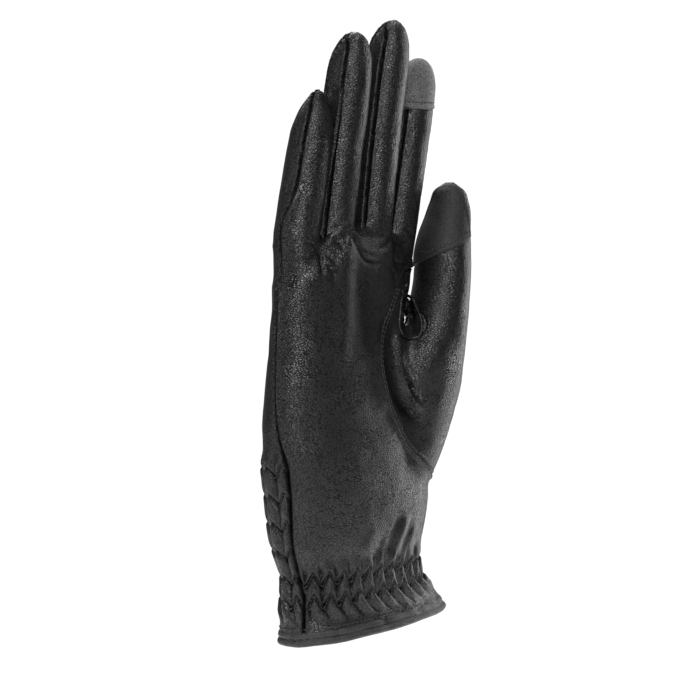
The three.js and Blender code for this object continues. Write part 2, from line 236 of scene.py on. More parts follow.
def glide(keys: Array, values: Array, at: Array | float) -> Array:
    """Reads a smooth curve through the points of a table.

    Args:
        keys: Rising places of the points.
        values: Values at those places.
        at: Where to read.

    Returns:
        The values at those places, held constant past the ends.
    """
    at = np.clip(np.asarray(at, dtype=float), keys[0], keys[-1])
    gap = np.diff(keys)
    rise = np.diff(values) / gap
    slope = np.empty(len(values))
    slope[0], slope[-1] = rise[0], rise[-1]
    slope[1:-1] = (rise[:-1] * gap[1:] + rise[1:] * gap[:-1]) / (gap[:-1] + gap[1:])
    i = np.clip(np.searchsorted(keys, at, side="right") - 1, 0, len(keys) - 2)
    t = (at - keys[i]) / gap[i]
    a, b = values[i], values[i + 1]
    m, n = slope[i] * gap[i], slope[i + 1] * gap[i]
    start = (2 * t**3 - 3 * t**2 + 1) * a + (t**3 - 2 * t**2 + t) * m
    return start + (3 * t**2 - 2 * t**3) * b + (t**3 - t**2) * n


def step(low: float, high: float, at: Array) -> Array:
    """Returns 0 below low, 1 above high and a smooth rise between."""
    t = np.clip((at - low) / (high - low), 0, 1)
    return t * t * (3 - 2 * t)


def bell(distance: Array, width: float) -> Array:
    """Returns a bell curve of a distance, 1 at nothing."""
    return np.exp(-((distance / width) ** 2))


def round_loop(count: int, squareness: float) -> Array:
    """Returns a unit loop of points with soft corners, counted from +X.

    Args:
        count: How many points.
        squareness: 2 for an ellipse, more for squarer corners.

    Returns:
        The points' X and Y.
    """
    angle = np.arange(count) * 2 * math.pi / count
    c, s = np.cos(angle), np.sin(angle)
    return np.stack([np.sign(v) * np.abs(v) ** (2 / squareness) for v in (c, s)], axis=1)


def flow(knots: Array, count: int) -> Array:
    """Returns an even run of points on a smooth curve through a few knots of any dimension.

    Args:
        knots: The knots, one a row.
        count: How many points are wanted.

    Returns:
        The points, one a row.
    """
    reach = np.concatenate([[0], np.cumsum(np.linalg.norm(np.diff(knots, axis=0), axis=1))])
    at = np.linspace(0, reach[-1], 12 * count)
    fine = np.stack([glide(reach, knots[:, n], at) for n in range(knots.shape[1])], axis=1)
    reach = np.concatenate([[0], np.cumsum(np.linalg.norm(np.diff(fine, axis=0), axis=1))])
    at = np.linspace(0, reach[-1], count)
    return np.stack([np.interp(at, reach, fine[:, n]) for n in range(knots.shape[1])], axis=1)


def to_line(points: Array, line: Array) -> tuple[Array, Array, Array]:
    """Measures from points to a line in a plane.

    Args:
        points: Places in the plane, one a row.
        line: The line's points in order.

    Returns:
        The distance, positive to the right of the line's direction, the share along the line of the
        nearest point, and the plain distance.
    """
    best = np.full(len(points), 1e9)
    side = np.ones(len(points))
    share = np.zeros(len(points))
    lengths = np.linalg.norm(np.diff(line, axis=0), axis=1)
    reach = np.concatenate([[0], np.cumsum(lengths)])
    for i, size in enumerate(lengths):
        a, d = line[i], line[i + 1] - line[i]
        t = np.clip(((points - a) @ d) / (size * size), 0, 1)
        off = points - a - t[:, None] * d
        gap = np.hypot(off[:, 0], off[:, 1])
        near = gap < best
        best[near] = gap[near]
        cross = d[0] * (points[:, 1] - a[1]) - d[1] * (points[:, 0] - a[0])
        side[near] = np.where(cross[near] > 0, -1, 1)
        share[near] = ((reach[i] + t * size) / reach[-1])[near]
    return best * side, share, best


def make_object(name: str, points: Array, faces: Array | list) -> bpy.types.Object:
    """Makes a mesh object from points in millimetres.

    Args:
        name: The object's name.
        points: One point a row.
        faces: Faces as rows of point numbers, or a list of faces.

    Returns:
        The new object, linked to the scene.
    """
    mesh = bpy.data.meshes.new(name)
    rows = faces.tolist() if isinstance(faces, np.ndarray) else faces
    mesh.from_pydata((points * MM).tolist(), [], rows)
    mesh.update()
    obj = bpy.data.objects.new(name, mesh)
    bpy.context.scene.collection.objects.link(obj)
    return obj


def ring_faces(loops: int, count: int) -> Array:
    """Returns the faces of a closed ring.

    Args:
        loops: How many loops of points it has, the last joined to the first.
        count: How many points a loop has.

    Returns:
        The faces as rows of four point numbers.
    """
    i = np.arange(count)
    j = (i + 1) % count
    starts = [(k * count, (k + 1) % loops * count) for k in range(loops)]
    return np.concatenate([np.stack([a + i, a + j, b + j, b + i], axis=1) for a, b in starts])


def choose(obj: bpy.types.Object) -> None:
    """Makes one object the only selected and active one.

    Args:
        obj: The object.
    """
    bpy.ops.object.select_all(action="DESELECT")
    obj.select_set(True)
    bpy.context.view_layer.objects.active = obj


def outward_and_smooth(obj: bpy.types.Object) -> None:
    """Turns a closed piece's faces outward and shades it smooth.

    Args:
        obj: The piece.
    """
    choose(obj)
    bpy.ops.object.mode_set(mode="EDIT")
    bpy.ops.mesh.select_all(action="SELECT")
    bpy.ops.mesh.normals_make_consistent(inside=False)
    bpy.ops.object.mode_set(mode="OBJECT")
    bpy.ops.object.shade_smooth_by_angle(angle=math.radians(60))


def finish_piece(
    obj: bpy.types.Object, material: bpy.types.Material, nodes: Sequence[str] = ()
) -> None:
    """Gives a piece its finish and its place in the frame.

    Args:
        obj: The piece.
        material: Its finish.
        nodes: The CAD nodes that it stands for.
    """
    obj.data.materials.clear()
    obj.data.materials.append(material)
    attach(obj, "root")
    if nodes:
        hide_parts(*nodes)
    LOG.info("%s: %d faces", obj.name, len(obj.data.polygons))


# the hand's form


@dataclass
class HandForm:
    """The smooth form of a hand in the glove, as sections, tubes and the lines on them."""

    sizes: GloveSizes = SIZES

    def section(self, up: Array) -> tuple[Array, Array, Array]:
        """Returns the middle and the half-sizes of the hand's section at shares of its length.

        Args:
            up: Shares of the palm's length, from the mouth.

        Returns:
            The middle's X, the half-width and the half-depth.
        """
        keys = column(HAND, "up")
        x = glide(keys, column(HAND, "x"), up) * self.sizes.palm_width
        width = glide(keys, column(HAND, "width"), up) * self.sizes.palm_width / 2
        depth = glide(keys, column(HAND, "depth"), up) * self.sizes.palm_depth / 2
        return x, width, depth

    def height(self, up: Array, x: Array) -> Array:
        """Returns the height of a point of a section: tilted at the mouth, fallen at the finger roots.

        Args:
            up: Shares of the palm's length.
            x: The points' X.

        Returns:
            Their heights.
        """
        z = up * self.sizes.palm_length
        tilt = self.sizes.mouth_tilt * x * np.clip(1 - z / self.sizes.tilt_fade, 0, 1)
        sizes = self.sizes
        off = (x - sizes.root_middle * sizes.palm_width) / (sizes.root_reach * sizes.palm_width)
        return z + tilt - self.sizes.root_fall * off**2 * step(0.85, 1, up)

    def above_hem(self, place: Array) -> Array:
        """Returns the height above the mouth's tilted plane, as a length along the hand.

        Args:
            place: Points, one a row.

        Returns:
            The heights.
        """
        x, z = place[:, 0], place[:, 2]
        tilt, fade = self.sizes.mouth_tilt * x, self.sizes.tilt_fade
        return np.where(z > fade, z, (z - tilt) / (1 - tilt / fade))

    def finger_line(self, finger: Finger, z: Array) -> tuple[Array, Array]:
        """Returns where a finger's middle line runs at given heights.

        Args:
            finger: The finger.
            z: Heights.

        Returns:
            The line's X and Y there.
        """
        share = np.clip((z - self.sizes.palm_length) / finger.length, 0, 1)
        bend = finger.bow * finger.width * 4 * share * (1 - share)
        x = (finger.root[0] + (finger.tip[0] - finger.root[0]) * share) * self.sizes.palm_width - bend
        y = (finger.root[1] + (finger.tip[1] - finger.root[1]) * share) * self.sizes.palm_depth
        return x, y

    def finger_radius(self, finger: Finger, z: Array) -> Array:
        """Returns a finger's half-width at given heights.

        Args:
            finger: The finger.
            z: Heights.

        Returns:
            The half-widths.
        """
        below = (self.sizes.palm_length + finger.length - z) / finger.width
        share = glide(column(finger.form, "below"), column(finger.form, "width"), below)
        root = np.clip((self.sizes.palm_length - z) / (0.2 * self.sizes.palm_length), 0, 1)
        sunk = 1 + (finger.sunk - 1) * root
        return share * sunk * finger.width / 2

    def index_hem_height(self) -> float:
        """Returns the height of the index tip's hem at the finger's middle line."""
        return self.sizes.palm_length + INDEX.length - self.sizes.index_tip_length

    def thumb_height(self, up: Array) -> Array:
        """Returns heights along the thumb: up is 1 at its crotch and 2 at its tip."""
        crotch = self.sizes.crotch_height
        return np.where(up < 1, up * crotch, crotch + (self.sizes.thumb_top - crotch) * (up - 1))

    def thumb_section(self, z: Array) -> tuple[Array, Array, Array, Array]:
        """Returns the middle and the half-sizes of the thumb's section at given heights.

        Args:
            z: Heights.

        Returns:
            The middle's X and Y, the half-width and the half-depth.
        """
        keys = self.thumb_height(column(THUMB, "up"))
        return (
            glide(keys, column(THUMB, "x"), z) * self.sizes.palm_width,
            glide(keys, column(THUMB, "y"), z) * self.sizes.palm_depth,
            glide(keys, column(THUMB, "width"), z) * self.sizes.thumb_width / 2,
            glide(keys, column(THUMB, "depth"), z) * self.sizes.thumb_width / 2,
        )

    def seam_curve(self, knots: Sequence[Knot], count: int = 90) -> Array:
        """Returns a seam round the ball of the thumb, seen from the palm, as points in X and Z.

        Args:
            knots: The seam's knots.
            count: How many points are wanted.

        Returns:
            The points, one a row.
        """
        across = column(knots, "across") * self.sizes.palm_width
        up = self.thumb_height(column(knots, "up"))
        return flow(np.stack([across, up], axis=1), count)


@dataclass
class FingerSpread:
    """Opens the fingers a little while the skin is made in one, and closes them again."""

    form: HandForm
    start: float = 143.0
    slope: float = 0.2
    contact: float = 0.15
    press_from: tuple[float, float] = (4.0, 9.0)
    press_to: tuple[float, float] = (-2.0, 3.0)

    def lean(self, z: Array) -> Array:
        """Returns how far a finger with a spread of 1 leans at given heights."""
        return self.slope * np.maximum(z - self.start, 0)

    def line(self, finger: Finger, z: Array) -> Array:
        """Returns the X of an opened finger's middle line."""
        return self.form.finger_line(finger, z)[0] + finger.spread * self.lean(z)

    def close(self, place: Array) -> Array:
        """Returns the points of the opened glove closed, with neighbouring fingers pressed flat together.

        Args:
            place: Points of the opened glove.

        Returns:
            The same points, closed.
        """
        z = place[:, 2]
        owner = np.abs(np.stack([place[:, 0] - self.line(f, z) for f in FINGERS])).argmin(axis=0)
        out = self.move(place, True)
        for n in range(3):
            left, right = FINGERS[n], FINGERS[n + 1]
            middle = (self.form.finger_line(left, z)[0] + self.form.finger_line(right, z)[0]) / 2
            tip = self.form.sizes.palm_length + min(left.length, right.length)
            share = step(self.start + self.press_from[0], self.start + self.press_from[1], z)
            share *= 1 - step(tip + self.press_to[0], tip + self.press_to[1], z)
            for number, sign in ((n, 1), (n + 1, -1)):
                over = (out[:, 0] - middle) * sign + self.contact
                out[:, 0] -= np.where(owner == number, sign * np.maximum(over, 0) * share, 0)
        return out

    def move(self, place: Array, opened: bool) -> Array:
        """Moves points of the skin with the fingers.

        Args:
            place: The points.
            opened: True where the points are of the opened glove, to close it; False to open it.

        Returns:
            The moved points.
        """
        z = place[:, 2]
        lean = self.lean(z)
        off = lean if opened else 0
        gap = np.stack([
            np.abs(place[:, 0] - self.form.finger_line(f, z)[0] - f.spread * off) for f in FINGERS
        ])
        weight = np.exp(-(gap - gap.min(axis=0)) / np.clip(0.5 * lean + 0.1, 0.15, 0.8))
        spreads = np.array([f.spread for f in FINGERS])[:, None]
        shift = (weight * spreads).sum(axis=0) / weight.sum(axis=0) * lean
        out = place.copy()
        out[:, 0] += -shift if opened else shift
        return out


@dataclass
class Skin:
    """A surface of triangles that can be smoothed, refined and cut along fields."""

    place: Array
    faces: Array

    def edges(self) -> tuple[Array, Array]:
        """Returns the edges as rows of two point numbers, and each face's three edge numbers.

        Returns:
            The edges, and the edge numbers with one row for each face.
        """
        sides = [self.faces[:, ends] for ends in ([0, 1], [1, 2], [2, 0])]
        pairs = np.sort(np.concatenate(sides), axis=1)
        key = pairs[:, 0].astype(np.int64) * (len(self.place) + 1) + pairs[:, 1]
        _, first, back = np.unique(key, return_index=True, return_inverse=True)
        return pairs[first], back.reshape(3, -1).T

    def smooth(self, rounds: int, strength: Array | float, keep_volume: bool) -> None:
        """Evens the surface.

        Args:
            rounds: How many times.
            strength: From 0 to 1, for all points or for each.
            keep_volume: True to push back after each round, so that tubes don't shrink.
        """
        pairs, _ = self.edges()
        count = np.bincount(pairs.ravel(), minlength=len(self.place)).astype(float)[:, None]
        weight = np.broadcast_to(np.asarray(strength, dtype=float), (len(self.place),))[:, None]
        for n in range(rounds * (2 if keep_volume else 1)):
            factor = -0.53 if keep_volume and n % 2 else 0.5
            total = np.empty_like(self.place)
            for axis in range(3):
                total[:, axis] = np.bincount(pairs[:, 0], self.place[pairs[:, 1], axis], len(self.place))
                total[:, axis] += np.bincount(pairs[:, 1], self.place[pairs[:, 0], axis], len(self.place))
            self.place = self.place + factor * weight * (total / count - self.place)

    def split(self, pairs: Array, of_face: Array, flags: Array, points: Array) -> None:
        """Splits the flagged edges at given points and the faces beside them.

        Args:
            pairs: All edges.
            of_face: Each face's three edge numbers.
            flags: Which edges are split.
            points: The new points, one for each flagged edge.
        """
        number = np.full(len(pairs), -1)
        number[flags] = len(self.place) + np.arange(int(flags.sum()))
        new = number[of_face]
        count = (new >= 0).sum(axis=1)
        out = [self.faces[count == 0]]
        for k in range(3):
            turn = [k, (k + 1) % 3, (k + 2) % 3]
            f, m = self.faces[:, turn], new[:, turn]
            one = (count == 1) & (m[:, 0] >= 0)
            out.append(np.stack([f[one, 0], m[one, 0], f[one, 2]], axis=1))
            out.append(np.stack([m[one, 0], f[one, 1], f[one, 2]], axis=1))
            two = (count == 2) & (m[:, 0] >= 0) & (m[:, 2] >= 0)
            out.append(np.stack([f[two, 0], m[two, 0], m[two, 2]], axis=1))
            out.append(np.stack([m[two, 0], f[two, 1], f[two, 2]], axis=1))
            out.append(np.stack([m[two, 0], f[two, 2], m[two, 2]], axis=1))
        three = count == 3
        f, m = self.faces[three], new[three]
        out.extend(np.stack(rows, axis=1) for rows in (
            (f[:, 0], m[:, 0], m[:, 2]), (m[:, 0], f[:, 1], m[:, 1]), (m[:, 2], m[:, 1], f[:, 2]),
            (m[:, 0], m[:, 1], m[:, 2]),
        ))
        self.place = np.concatenate([self.place, points])
        self.faces = np.concatenate(out)

    def refine(self, wanted: Callable[[Array], Array], longest: float) -> None:
        """Halves the edges whose middle is wanted, where they are longer than a length.

        Args:
            wanted: Tells which places are wanted.
            longest: The length.
        """
        pairs, of_face = self.edges()
        middle = (self.place[pairs[:, 0]] + self.place[pairs[:, 1]]) / 2
        size = np.linalg.norm(self.place[pairs[:, 0]] - self.place[pairs[:, 1]], axis=1)
        flags = wanted(middle) & (size > longest)
        self.split(pairs, of_face, flags, middle[flags])

    def cut(self, value: Array, snap: float = 0.1) -> None:
        """Cuts the faces where a field of the points passes zero, so that edges follow that line.

        Args:
            value: The field at each point.
            snap: Values nearer to zero than this count as zero.
        """
        value = np.where(np.abs(value) < snap, 0, value)
        pairs, of_face = self.edges()
        a, b = value[pairs[:, 0]], value[pairs[:, 1]]
        flags = a * b < 0
        t = (a[flags] / (a[flags] - b[flags]))[:, None]
        points = self.place[pairs[flags, 0]] * (1 - t) + self.place[pairs[flags, 1]] * t
        self.split(pairs, of_face, flags, points)

    def keep(self, faces: Array) -> None:
        """Keeps only some faces and the points that they use.

        Args:
            faces: Which faces are kept.
        """
        self.faces = self.faces[faces]
        used, back = np.unique(self.faces, return_inverse=True)
        self.place = self.place[used]
        self.faces = back.reshape(-1, 3)

    def normals(self) -> Array:
        """Returns the points' outward normals.

        Returns:
            One unit normal a row.
        """
        a, b, c = (self.place[self.faces[:, n]] for n in range(3))
        flat = np.cross(b - a, c - a)
        out = np.zeros_like(self.place)
        for n in range(3):
            for axis in range(3):
                out[:, axis] += np.bincount(self.faces[:, n], flat[:, axis], len(self.place))
        return out / np.maximum(np.linalg.norm(out, axis=1, keepdims=True), 1e-9)


@dataclass
class SkinMaker:
    """Makes the glove's smooth outer skin from the hand's form."""

    form: HandForm
    voxel: float = 0.93
    hand_squareness: float = 2.3
    finger_squareness: float = 2.15
    thumb_squareness: float = 2.1
    even_rounds: int = 5
    thumb_blend_from: float = 38.0
    above_crotch: float = 6.0
    thumb_blend: float = 0.16
    thumb_rounds: int = 45
    root_level: float = 147.0
    edge_blend: float = 8.0
    edge_range: tuple[float, float] = (-38.0, -44.0)
    root_blend: float = 6.0
    root_strength: float = 0.5
    root_rounds: int = 28

    def loft(self, name: str, loops: Array) -> bpy.types.Object:
        """Makes a closed tube through loops of points, given as an array of loops.

        Args:
            name: The tube's name.
            loops: The loops.

        Returns:
            The tube.
        """
        count = loops.shape[1]
        ends = [loops[0].mean(axis=0)[None], loops[-1].mean(axis=0)[None]]
        points = np.concatenate([loops.reshape(-1, 3), *ends])
        i = np.arange(count)
        j = (i + 1) % count
        sides = [
            np.stack([k * count + i, k * count + j, (k + 1) * count + j, (k + 1) * count + i], axis=1)
            for k in range(len(loops) - 1)
        ]
        top = (len(loops) - 1) * count
        rows = np.concatenate(sides).tolist()
        rows += np.stack([np.full(count, len(points) - 2), j, i], axis=1).tolist()
        rows += np.stack([np.full(count, len(points) - 1), top + i, top + j], axis=1).tolist()
        return make_object(name, points, rows)

    def hand(self) -> Array:
        """Returns the hand's loops, from below the mouth to the finger roots.

        Returns:
            The loops.
        """
        ups = np.concatenate([[-0.1], np.linspace(-0.06, 1.02, 90)])
        x, width, depth = self.form.section(ups)
        loop = round_loop(180, self.hand_squareness)
        px = x[:, None] + loop[None, :, 0] * width[:, None]
        py = loop[None, :, 1] * depth[:, None]
        pz = self.form.height(np.repeat(ups[:, None], len(loop), axis=1), px)
        return np.stack([px, py, pz], axis=2)

    def finger(self, finger: Finger) -> Array:
        """Returns a finger's loops.

        Args:
            finger: The finger.

        Returns:
            The loops.
        """
        low, high = 0.8 * self.form.sizes.palm_length, self.form.sizes.palm_length + finger.length
        z = low + (high - low) * np.sin(np.linspace(0, math.pi / 2, 80))
        x, y = self.form.finger_line(finger, z)
        radius = self.form.finger_radius(finger, z)
        return self.tube(z, x, y, radius, radius, round_loop(72, self.finger_squareness))

    def thumb(self) -> Array:
        """Returns the thumb's loops.

        Returns:
            The loops.
        """
        low = float(self.form.thumb_height(np.array([THUMB[0].up]))[0])
        z = low + (self.form.sizes.thumb_top - low) * np.sin(np.linspace(0.02, math.pi / 2, 90))
        return self.tube(z, *self.form.thumb_section(z), round_loop(80, self.thumb_squareness))

    def tube(self, z: Array, x: Array, y: Array, width: Array, depth: Array, loop: Array) -> Array:
        """Returns loops of one shape at given places and half-sizes.

        Args:
            z: The loops' heights.
            x: Their middles' X.
            y: Their middles' Y.
            width: Their half-widths.
            depth: Their half-depths.
            loop: The shape, as a unit loop.

        Returns:
            The loops.
        """
        px = x[:, None] + loop[None, :, 0] * width[:, None]
        py = y[:, None] + loop[None, :, 1] * depth[:, None]
        return np.stack([px, py, np.repeat(z[:, None], len(loop), axis=1)], axis=2)

    def build(self) -> Skin:
        """Returns the skin of the whole hand in one, with its fingers still opened.

        Returns:
            The skin.
        """
        spread = FingerSpread(self.form)
        tubes = [self.loft("hand", self.open(spread, self.hand()))]
        tubes += [self.loft(f.name, self.open(spread, self.finger(f), f)) for f in FINGERS]
        tubes.append(self.loft("thumb_tube", self.thumb()))
        bpy.ops.object.select_all(action="DESELECT")
        for tube in tubes:
            tube.select_set(True)
        bpy.context.view_layer.objects.active = tubes[0]
        bpy.ops.object.join()
        whole = bpy.context.view_layer.objects.active
        remesh = whole.modifiers.new("one_skin", "REMESH")
        remesh.mode = "VOXEL"
        remesh.voxel_size = self.voxel * MM
        bpy.ops.object.modifier_apply(modifier=remesh.name)
        mesh = whole.data
        mesh.calc_loop_triangles()
        place = np.empty(len(mesh.vertices) * 3)
        mesh.vertices.foreach_get("co", place)
        faces = np.empty(len(mesh.loop_triangles) * 3, dtype=np.int32)
        mesh.loop_triangles.foreach_get("vertices", faces)
        bpy.data.objects.remove(whole)
        skin = Skin(place.reshape(-1, 3) / MM, faces.reshape(-1, 3).astype(np.int64))
        skin.smooth(self.even_rounds, 1.0, True)
        self.blend_roots(skin)
        return skin

    def open(self, spread: FingerSpread, loops: Array, finger: Finger | None = None) -> Array:
        """Returns the loops with the fingers opened.

        Args:
            spread: How the fingers open.
            loops: The loops.
            finger: The finger that they belong to, if they are a finger's.

        Returns:
            The moved loops.
        """
        flat = loops.reshape(-1, 3)
        if finger is None:
            moved = spread.move(flat, False)
        else:
            moved = flat.copy()
            moved[:, 0] += finger.spread * spread.lean(flat[:, 2])
        return moved.reshape(loops.shape)

    def blend_roots(self, skin: Skin) -> None:
        """Softens the valleys where the fingers and the thumb meet the hand.

        Args:
            skin: The skin, which is changed.
        """
        p, sizes = skin.place, self.form.sizes
        x, width, depth = self.form.section(p[:, 2] / sizes.palm_length)
        n, m = self.hand_squareness, self.thumb_squareness
        hand = (np.abs((p[:, 0] - x) / width) ** n + np.abs(p[:, 1] / depth) ** n) ** (1 / n)
        tx, ty, tw, td = self.form.thumb_section(p[:, 2])
        thumb = (np.abs((p[:, 0] - tx) / tw) ** m + np.abs((p[:, 1] - ty) / td) ** m) ** (1 / m)
        low = (p[:, 2] > self.thumb_blend_from) & (p[:, 2] < sizes.crotch_height + self.above_crotch)
        joint = np.where(low, bell(np.hypot(hand - 1, thumb - 1), self.thumb_blend), 0)
        skin.smooth(self.thumb_rounds, joint, False)
        off = (p[:, 0] / sizes.palm_width - sizes.root_middle) / sizes.root_reach
        level = self.root_level - sizes.root_fall * off**2
        edge = bell(p[:, 2] - level, self.edge_blend) * step(*self.edge_range, p[:, 0])
        root = self.root_strength * bell(p[:, 2] - level, self.root_blend) * (p[:, 0] < sizes.hand_to)
        skin.smooth(self.root_rounds, np.maximum(edge, root), False)


# panels and seams


@dataclass
class Pattern:
    """Where each panel lies on the opened skin, and the fields whose zero lines are its seams."""

    form: HandForm
    spread: FingerSpread
    front: float = 0.48
    back: float = 0.44
    side: float = 0.45
    tip_run: float = 6.0
    band_floor: float = 4.0
    fingers_from: float = 135.0
    thumb_from: float = 24.0
    uncut: float = 5.0
    band_scale: float = 8.0
    side_low: float = -0.25
    side_rise: tuple[float, float] = (143.0, 168.0)
    to_fingers: tuple[float, float] = (0.97, 1.06)
    tip_turn: float = math.radians(48)
    tip_pad: float = math.radians(63)
    tip_dip: float = 2.2
    tip_curves: tuple[float, float] = (0.035, 0.01)
    tip_side: float = -0.1
    gusset_depth: float = -0.2
    above_crotch: float = 4.0
    index_behind: tuple[float, float] = (150.0, 7.0)
    thumb_reach: float = 1.3
    thumb_join: float = 140.0
    palm_curve: Array = field(init=False)
    back_curve: Array = field(init=False)

    def __post_init__(self) -> None:
        """Works out the seams round the ball of the thumb once."""
        self.palm_curve = self.form.seam_curve(THUMB_SEAM_PALM)
        self.back_curve = self.form.seam_curve(THUMB_SEAM_BACK)

    def on_finger(self, place: Array) -> tuple[Array, Array, Array]:
        """Returns the number of the nearest finger, the place across it and its share of depth.

        Args:
            place: Points of the skin, one a row.

        Returns:
            The number, the place from -1 to 1 and the share from -1 in front to 1 behind.
        """
        z = place[:, 2]
        across, depth = [], []
        for finger in FINGERS:
            y = self.form.finger_line(finger, z)[1]
            r = np.maximum(self.form.finger_radius(finger, z), 0.25 * finger.width / 2)
            across.append((place[:, 0] - self.spread.line(finger, z)) / (finger.width / 2))
            depth.append((place[:, 1] - y) / r)
        nearest = np.abs(np.stack(across)).argmin(axis=0)
        pick = (nearest, np.arange(len(place)))
        return nearest, np.stack(across)[pick], np.stack(depth)[pick]

    def run_out(self, place: Array, nearest: Array) -> Array:
        """Returns how open the band between a finger's seams still is: 1, falling to 0 at the tip."""
        tips = np.array([self.form.sizes.palm_length + f.length for f in FINGERS])
        return np.sqrt(np.clip((tips[nearest] - 1.5 - place[:, 2]) / self.tip_run, 0, 1))

    def front_field(self, place: Array) -> Array:
        """Returns a field that is zero on the fingers' front seams."""
        nearest, _, depth = self.on_finger(place)
        return (depth + self.front * self.run_out(place, nearest)) * self.band_scale

    def back_field(self, place: Array) -> Array:
        """Returns a field that is zero on the fingers' rear seams."""
        nearest, _, depth = self.on_finger(place)
        return (depth - self.back * self.run_out(place, nearest)) * self.band_scale

    def side_field(self, place: Array) -> Array:
        """Returns a field that is zero on the seam between palm and back.

        Args:
            place: Points of the skin, one a row.

        Returns:
            The field, negative on the palm.
        """
        keys, values = column(SIDE_SEAM, "up"), column(SIDE_SEAM, "across")
        up = place[:, 2] / self.form.sizes.palm_length
        on_hand = place[:, 1] - glide(keys, values, up) * self.form.sizes.palm_depth
        nearest, _, depth = self.on_finger(place)
        side = self.side_low + (self.side - self.side_low) * step(*self.side_rise, place[:, 2])
        on_finger = (depth + side * self.run_out(place, nearest)) * self.band_scale
        share = step(*self.to_fingers, up)
        return on_hand * (1 - share) + on_finger * share

    def thumb_field(self, place: Array, curve: Array) -> Array:
        """Returns the distance to a seam round the ball of the thumb, negative on the thumb's side.

        Args:
            place: Points of the skin, one a row.
            curve: The seam, in X and Z.

        Returns:
            The distances.
        """
        ends = np.array([[300.0, curve[0, 1]], [300.0, curve[-1, 1]]])
        line = np.concatenate([ends[:1], curve, ends[1:]])
        signed, _, _ = to_line(place[:, [0, 2]], line)
        return signed

    def parting(self, z: Array) -> Array:
        """Returns the X between the hand's edge and the thumb above the crotch.

        Args:
            z: Heights.

        Returns:
            The X there.
        """
        x, width, _ = self.form.section(z / self.form.sizes.palm_length)
        tx, _, tw, _ = self.form.thumb_section(z)
        return (x + width + tx - tw) / 2

    def floor_field(self, place: Array, pair: int) -> Array:
        """Returns the height above the low end of the band between two fingers.

        Args:
            place: Points of the skin, one a row.
            pair: The number of the finger on the band's left.

        Returns:
            The heights.
        """
        a, b = FINGERS[pair], FINGERS[pair + 1]
        middle = (a.root[0] + b.root[0]) / 2 * self.form.sizes.palm_width
        level = float(self.form.height(np.array([1.0]), np.array([middle]))[0])
        return place[:, 2] - level + self.band_floor

    def thumb_tip_fields(self, place: Array) -> tuple[Array, Array]:
        """Returns the heights above the thumb tip's lower seam and before its side seam.

        Args:
            place: Points of the skin, one a row.

        Returns:
            The two fields, both positive on the tip's leather.
        """
        turn, pad = self.tip_turn, self.tip_pad
        tip = THUMB[-1]
        mx, my = tip.x * self.form.sizes.palm_width, tip.y * self.form.sizes.palm_depth
        u = (place[:, 0] - mx) * math.cos(turn) - (place[:, 1] - my) * math.sin(turn)
        v = (place[:, 0] - mx) * math.sin(pad) + (place[:, 1] - my) * math.cos(pad)
        low = self.form.sizes.thumb_top - self.form.sizes.thumb_tip_length
        rise, fall = self.tip_curves
        curve = rise * (u + 1) ** 2 * (u > -1) - fall * (u + 1) ** 2 * (u < -1)
        lower = place[:, 2] - low - self.form.sizes.thumb_tip_slope * u - curve + self.tip_dip
        side = self.tip_side * self.form.sizes.thumb_width - v
        return lower, side

    def gusset_field(self, place: Array) -> Array:
        """Returns the distance outside the ball round the thumb's crotch.

        Args:
            place: Points of the skin, one a row.

        Returns:
            The distances.
        """
        z = self.form.sizes.crotch_height
        x, width, _ = self.form.section(np.array([z / self.form.sizes.palm_length]))
        centre = np.array([x[0] + width[0], self.gusset_depth * self.form.sizes.palm_depth, z])
        return np.linalg.norm(place - centre, axis=1) - self.form.sizes.gusset_radius

    def hem_field(self, place: Array) -> Array:
        """Returns the height above the plane where the leather ends inside the binding."""
        return place[:, 2] - self.form.sizes.mouth_tilt * place[:, 0] - self.form.sizes.hem_height

    def cut(self, skin: Skin) -> None:
        """Cuts the skin along every seam and off at the hem.

        Args:
            skin: The skin, which is changed.
        """
        skin.cut(self.hem_field(skin.place))
        skin.keep(self.hem_field(skin.place[skin.faces].mean(axis=1)) > 0)
        skin.cut(self.side_field(skin.place))
        for line in (self.front_field, self.back_field):
            skin.cut(np.where(skin.place[:, 2] > self.fingers_from, line(skin.place), self.uncut))
        for pair in range(3):
            skin.cut(self.floor_field(skin.place, pair))
        skin.cut(self.thumb_field(skin.place, self.palm_curve))
        skin.cut(self.thumb_field(skin.place, self.back_curve))
        for n in range(2):
            field_there = self.thumb_tip_fields(skin.place)[n]
            skin.cut(np.where(skin.place[:, 0] > self.thumb_from, field_there, self.uncut))
        skin.cut(self.gusset_field(skin.place))
        skin.cut(skin.place[:, 2] - self.index_hem(skin.place))

    def index_hem(self, place: Array) -> Array:
        """Returns the height of the index tip's hem, which dips in front."""
        x, y = self.form.finger_line(INDEX, place[:, 2])
        return self.form.index_hem_height() + 0.06 * (place[:, 0] - x) + 0.1 * (place[:, 1] - y)

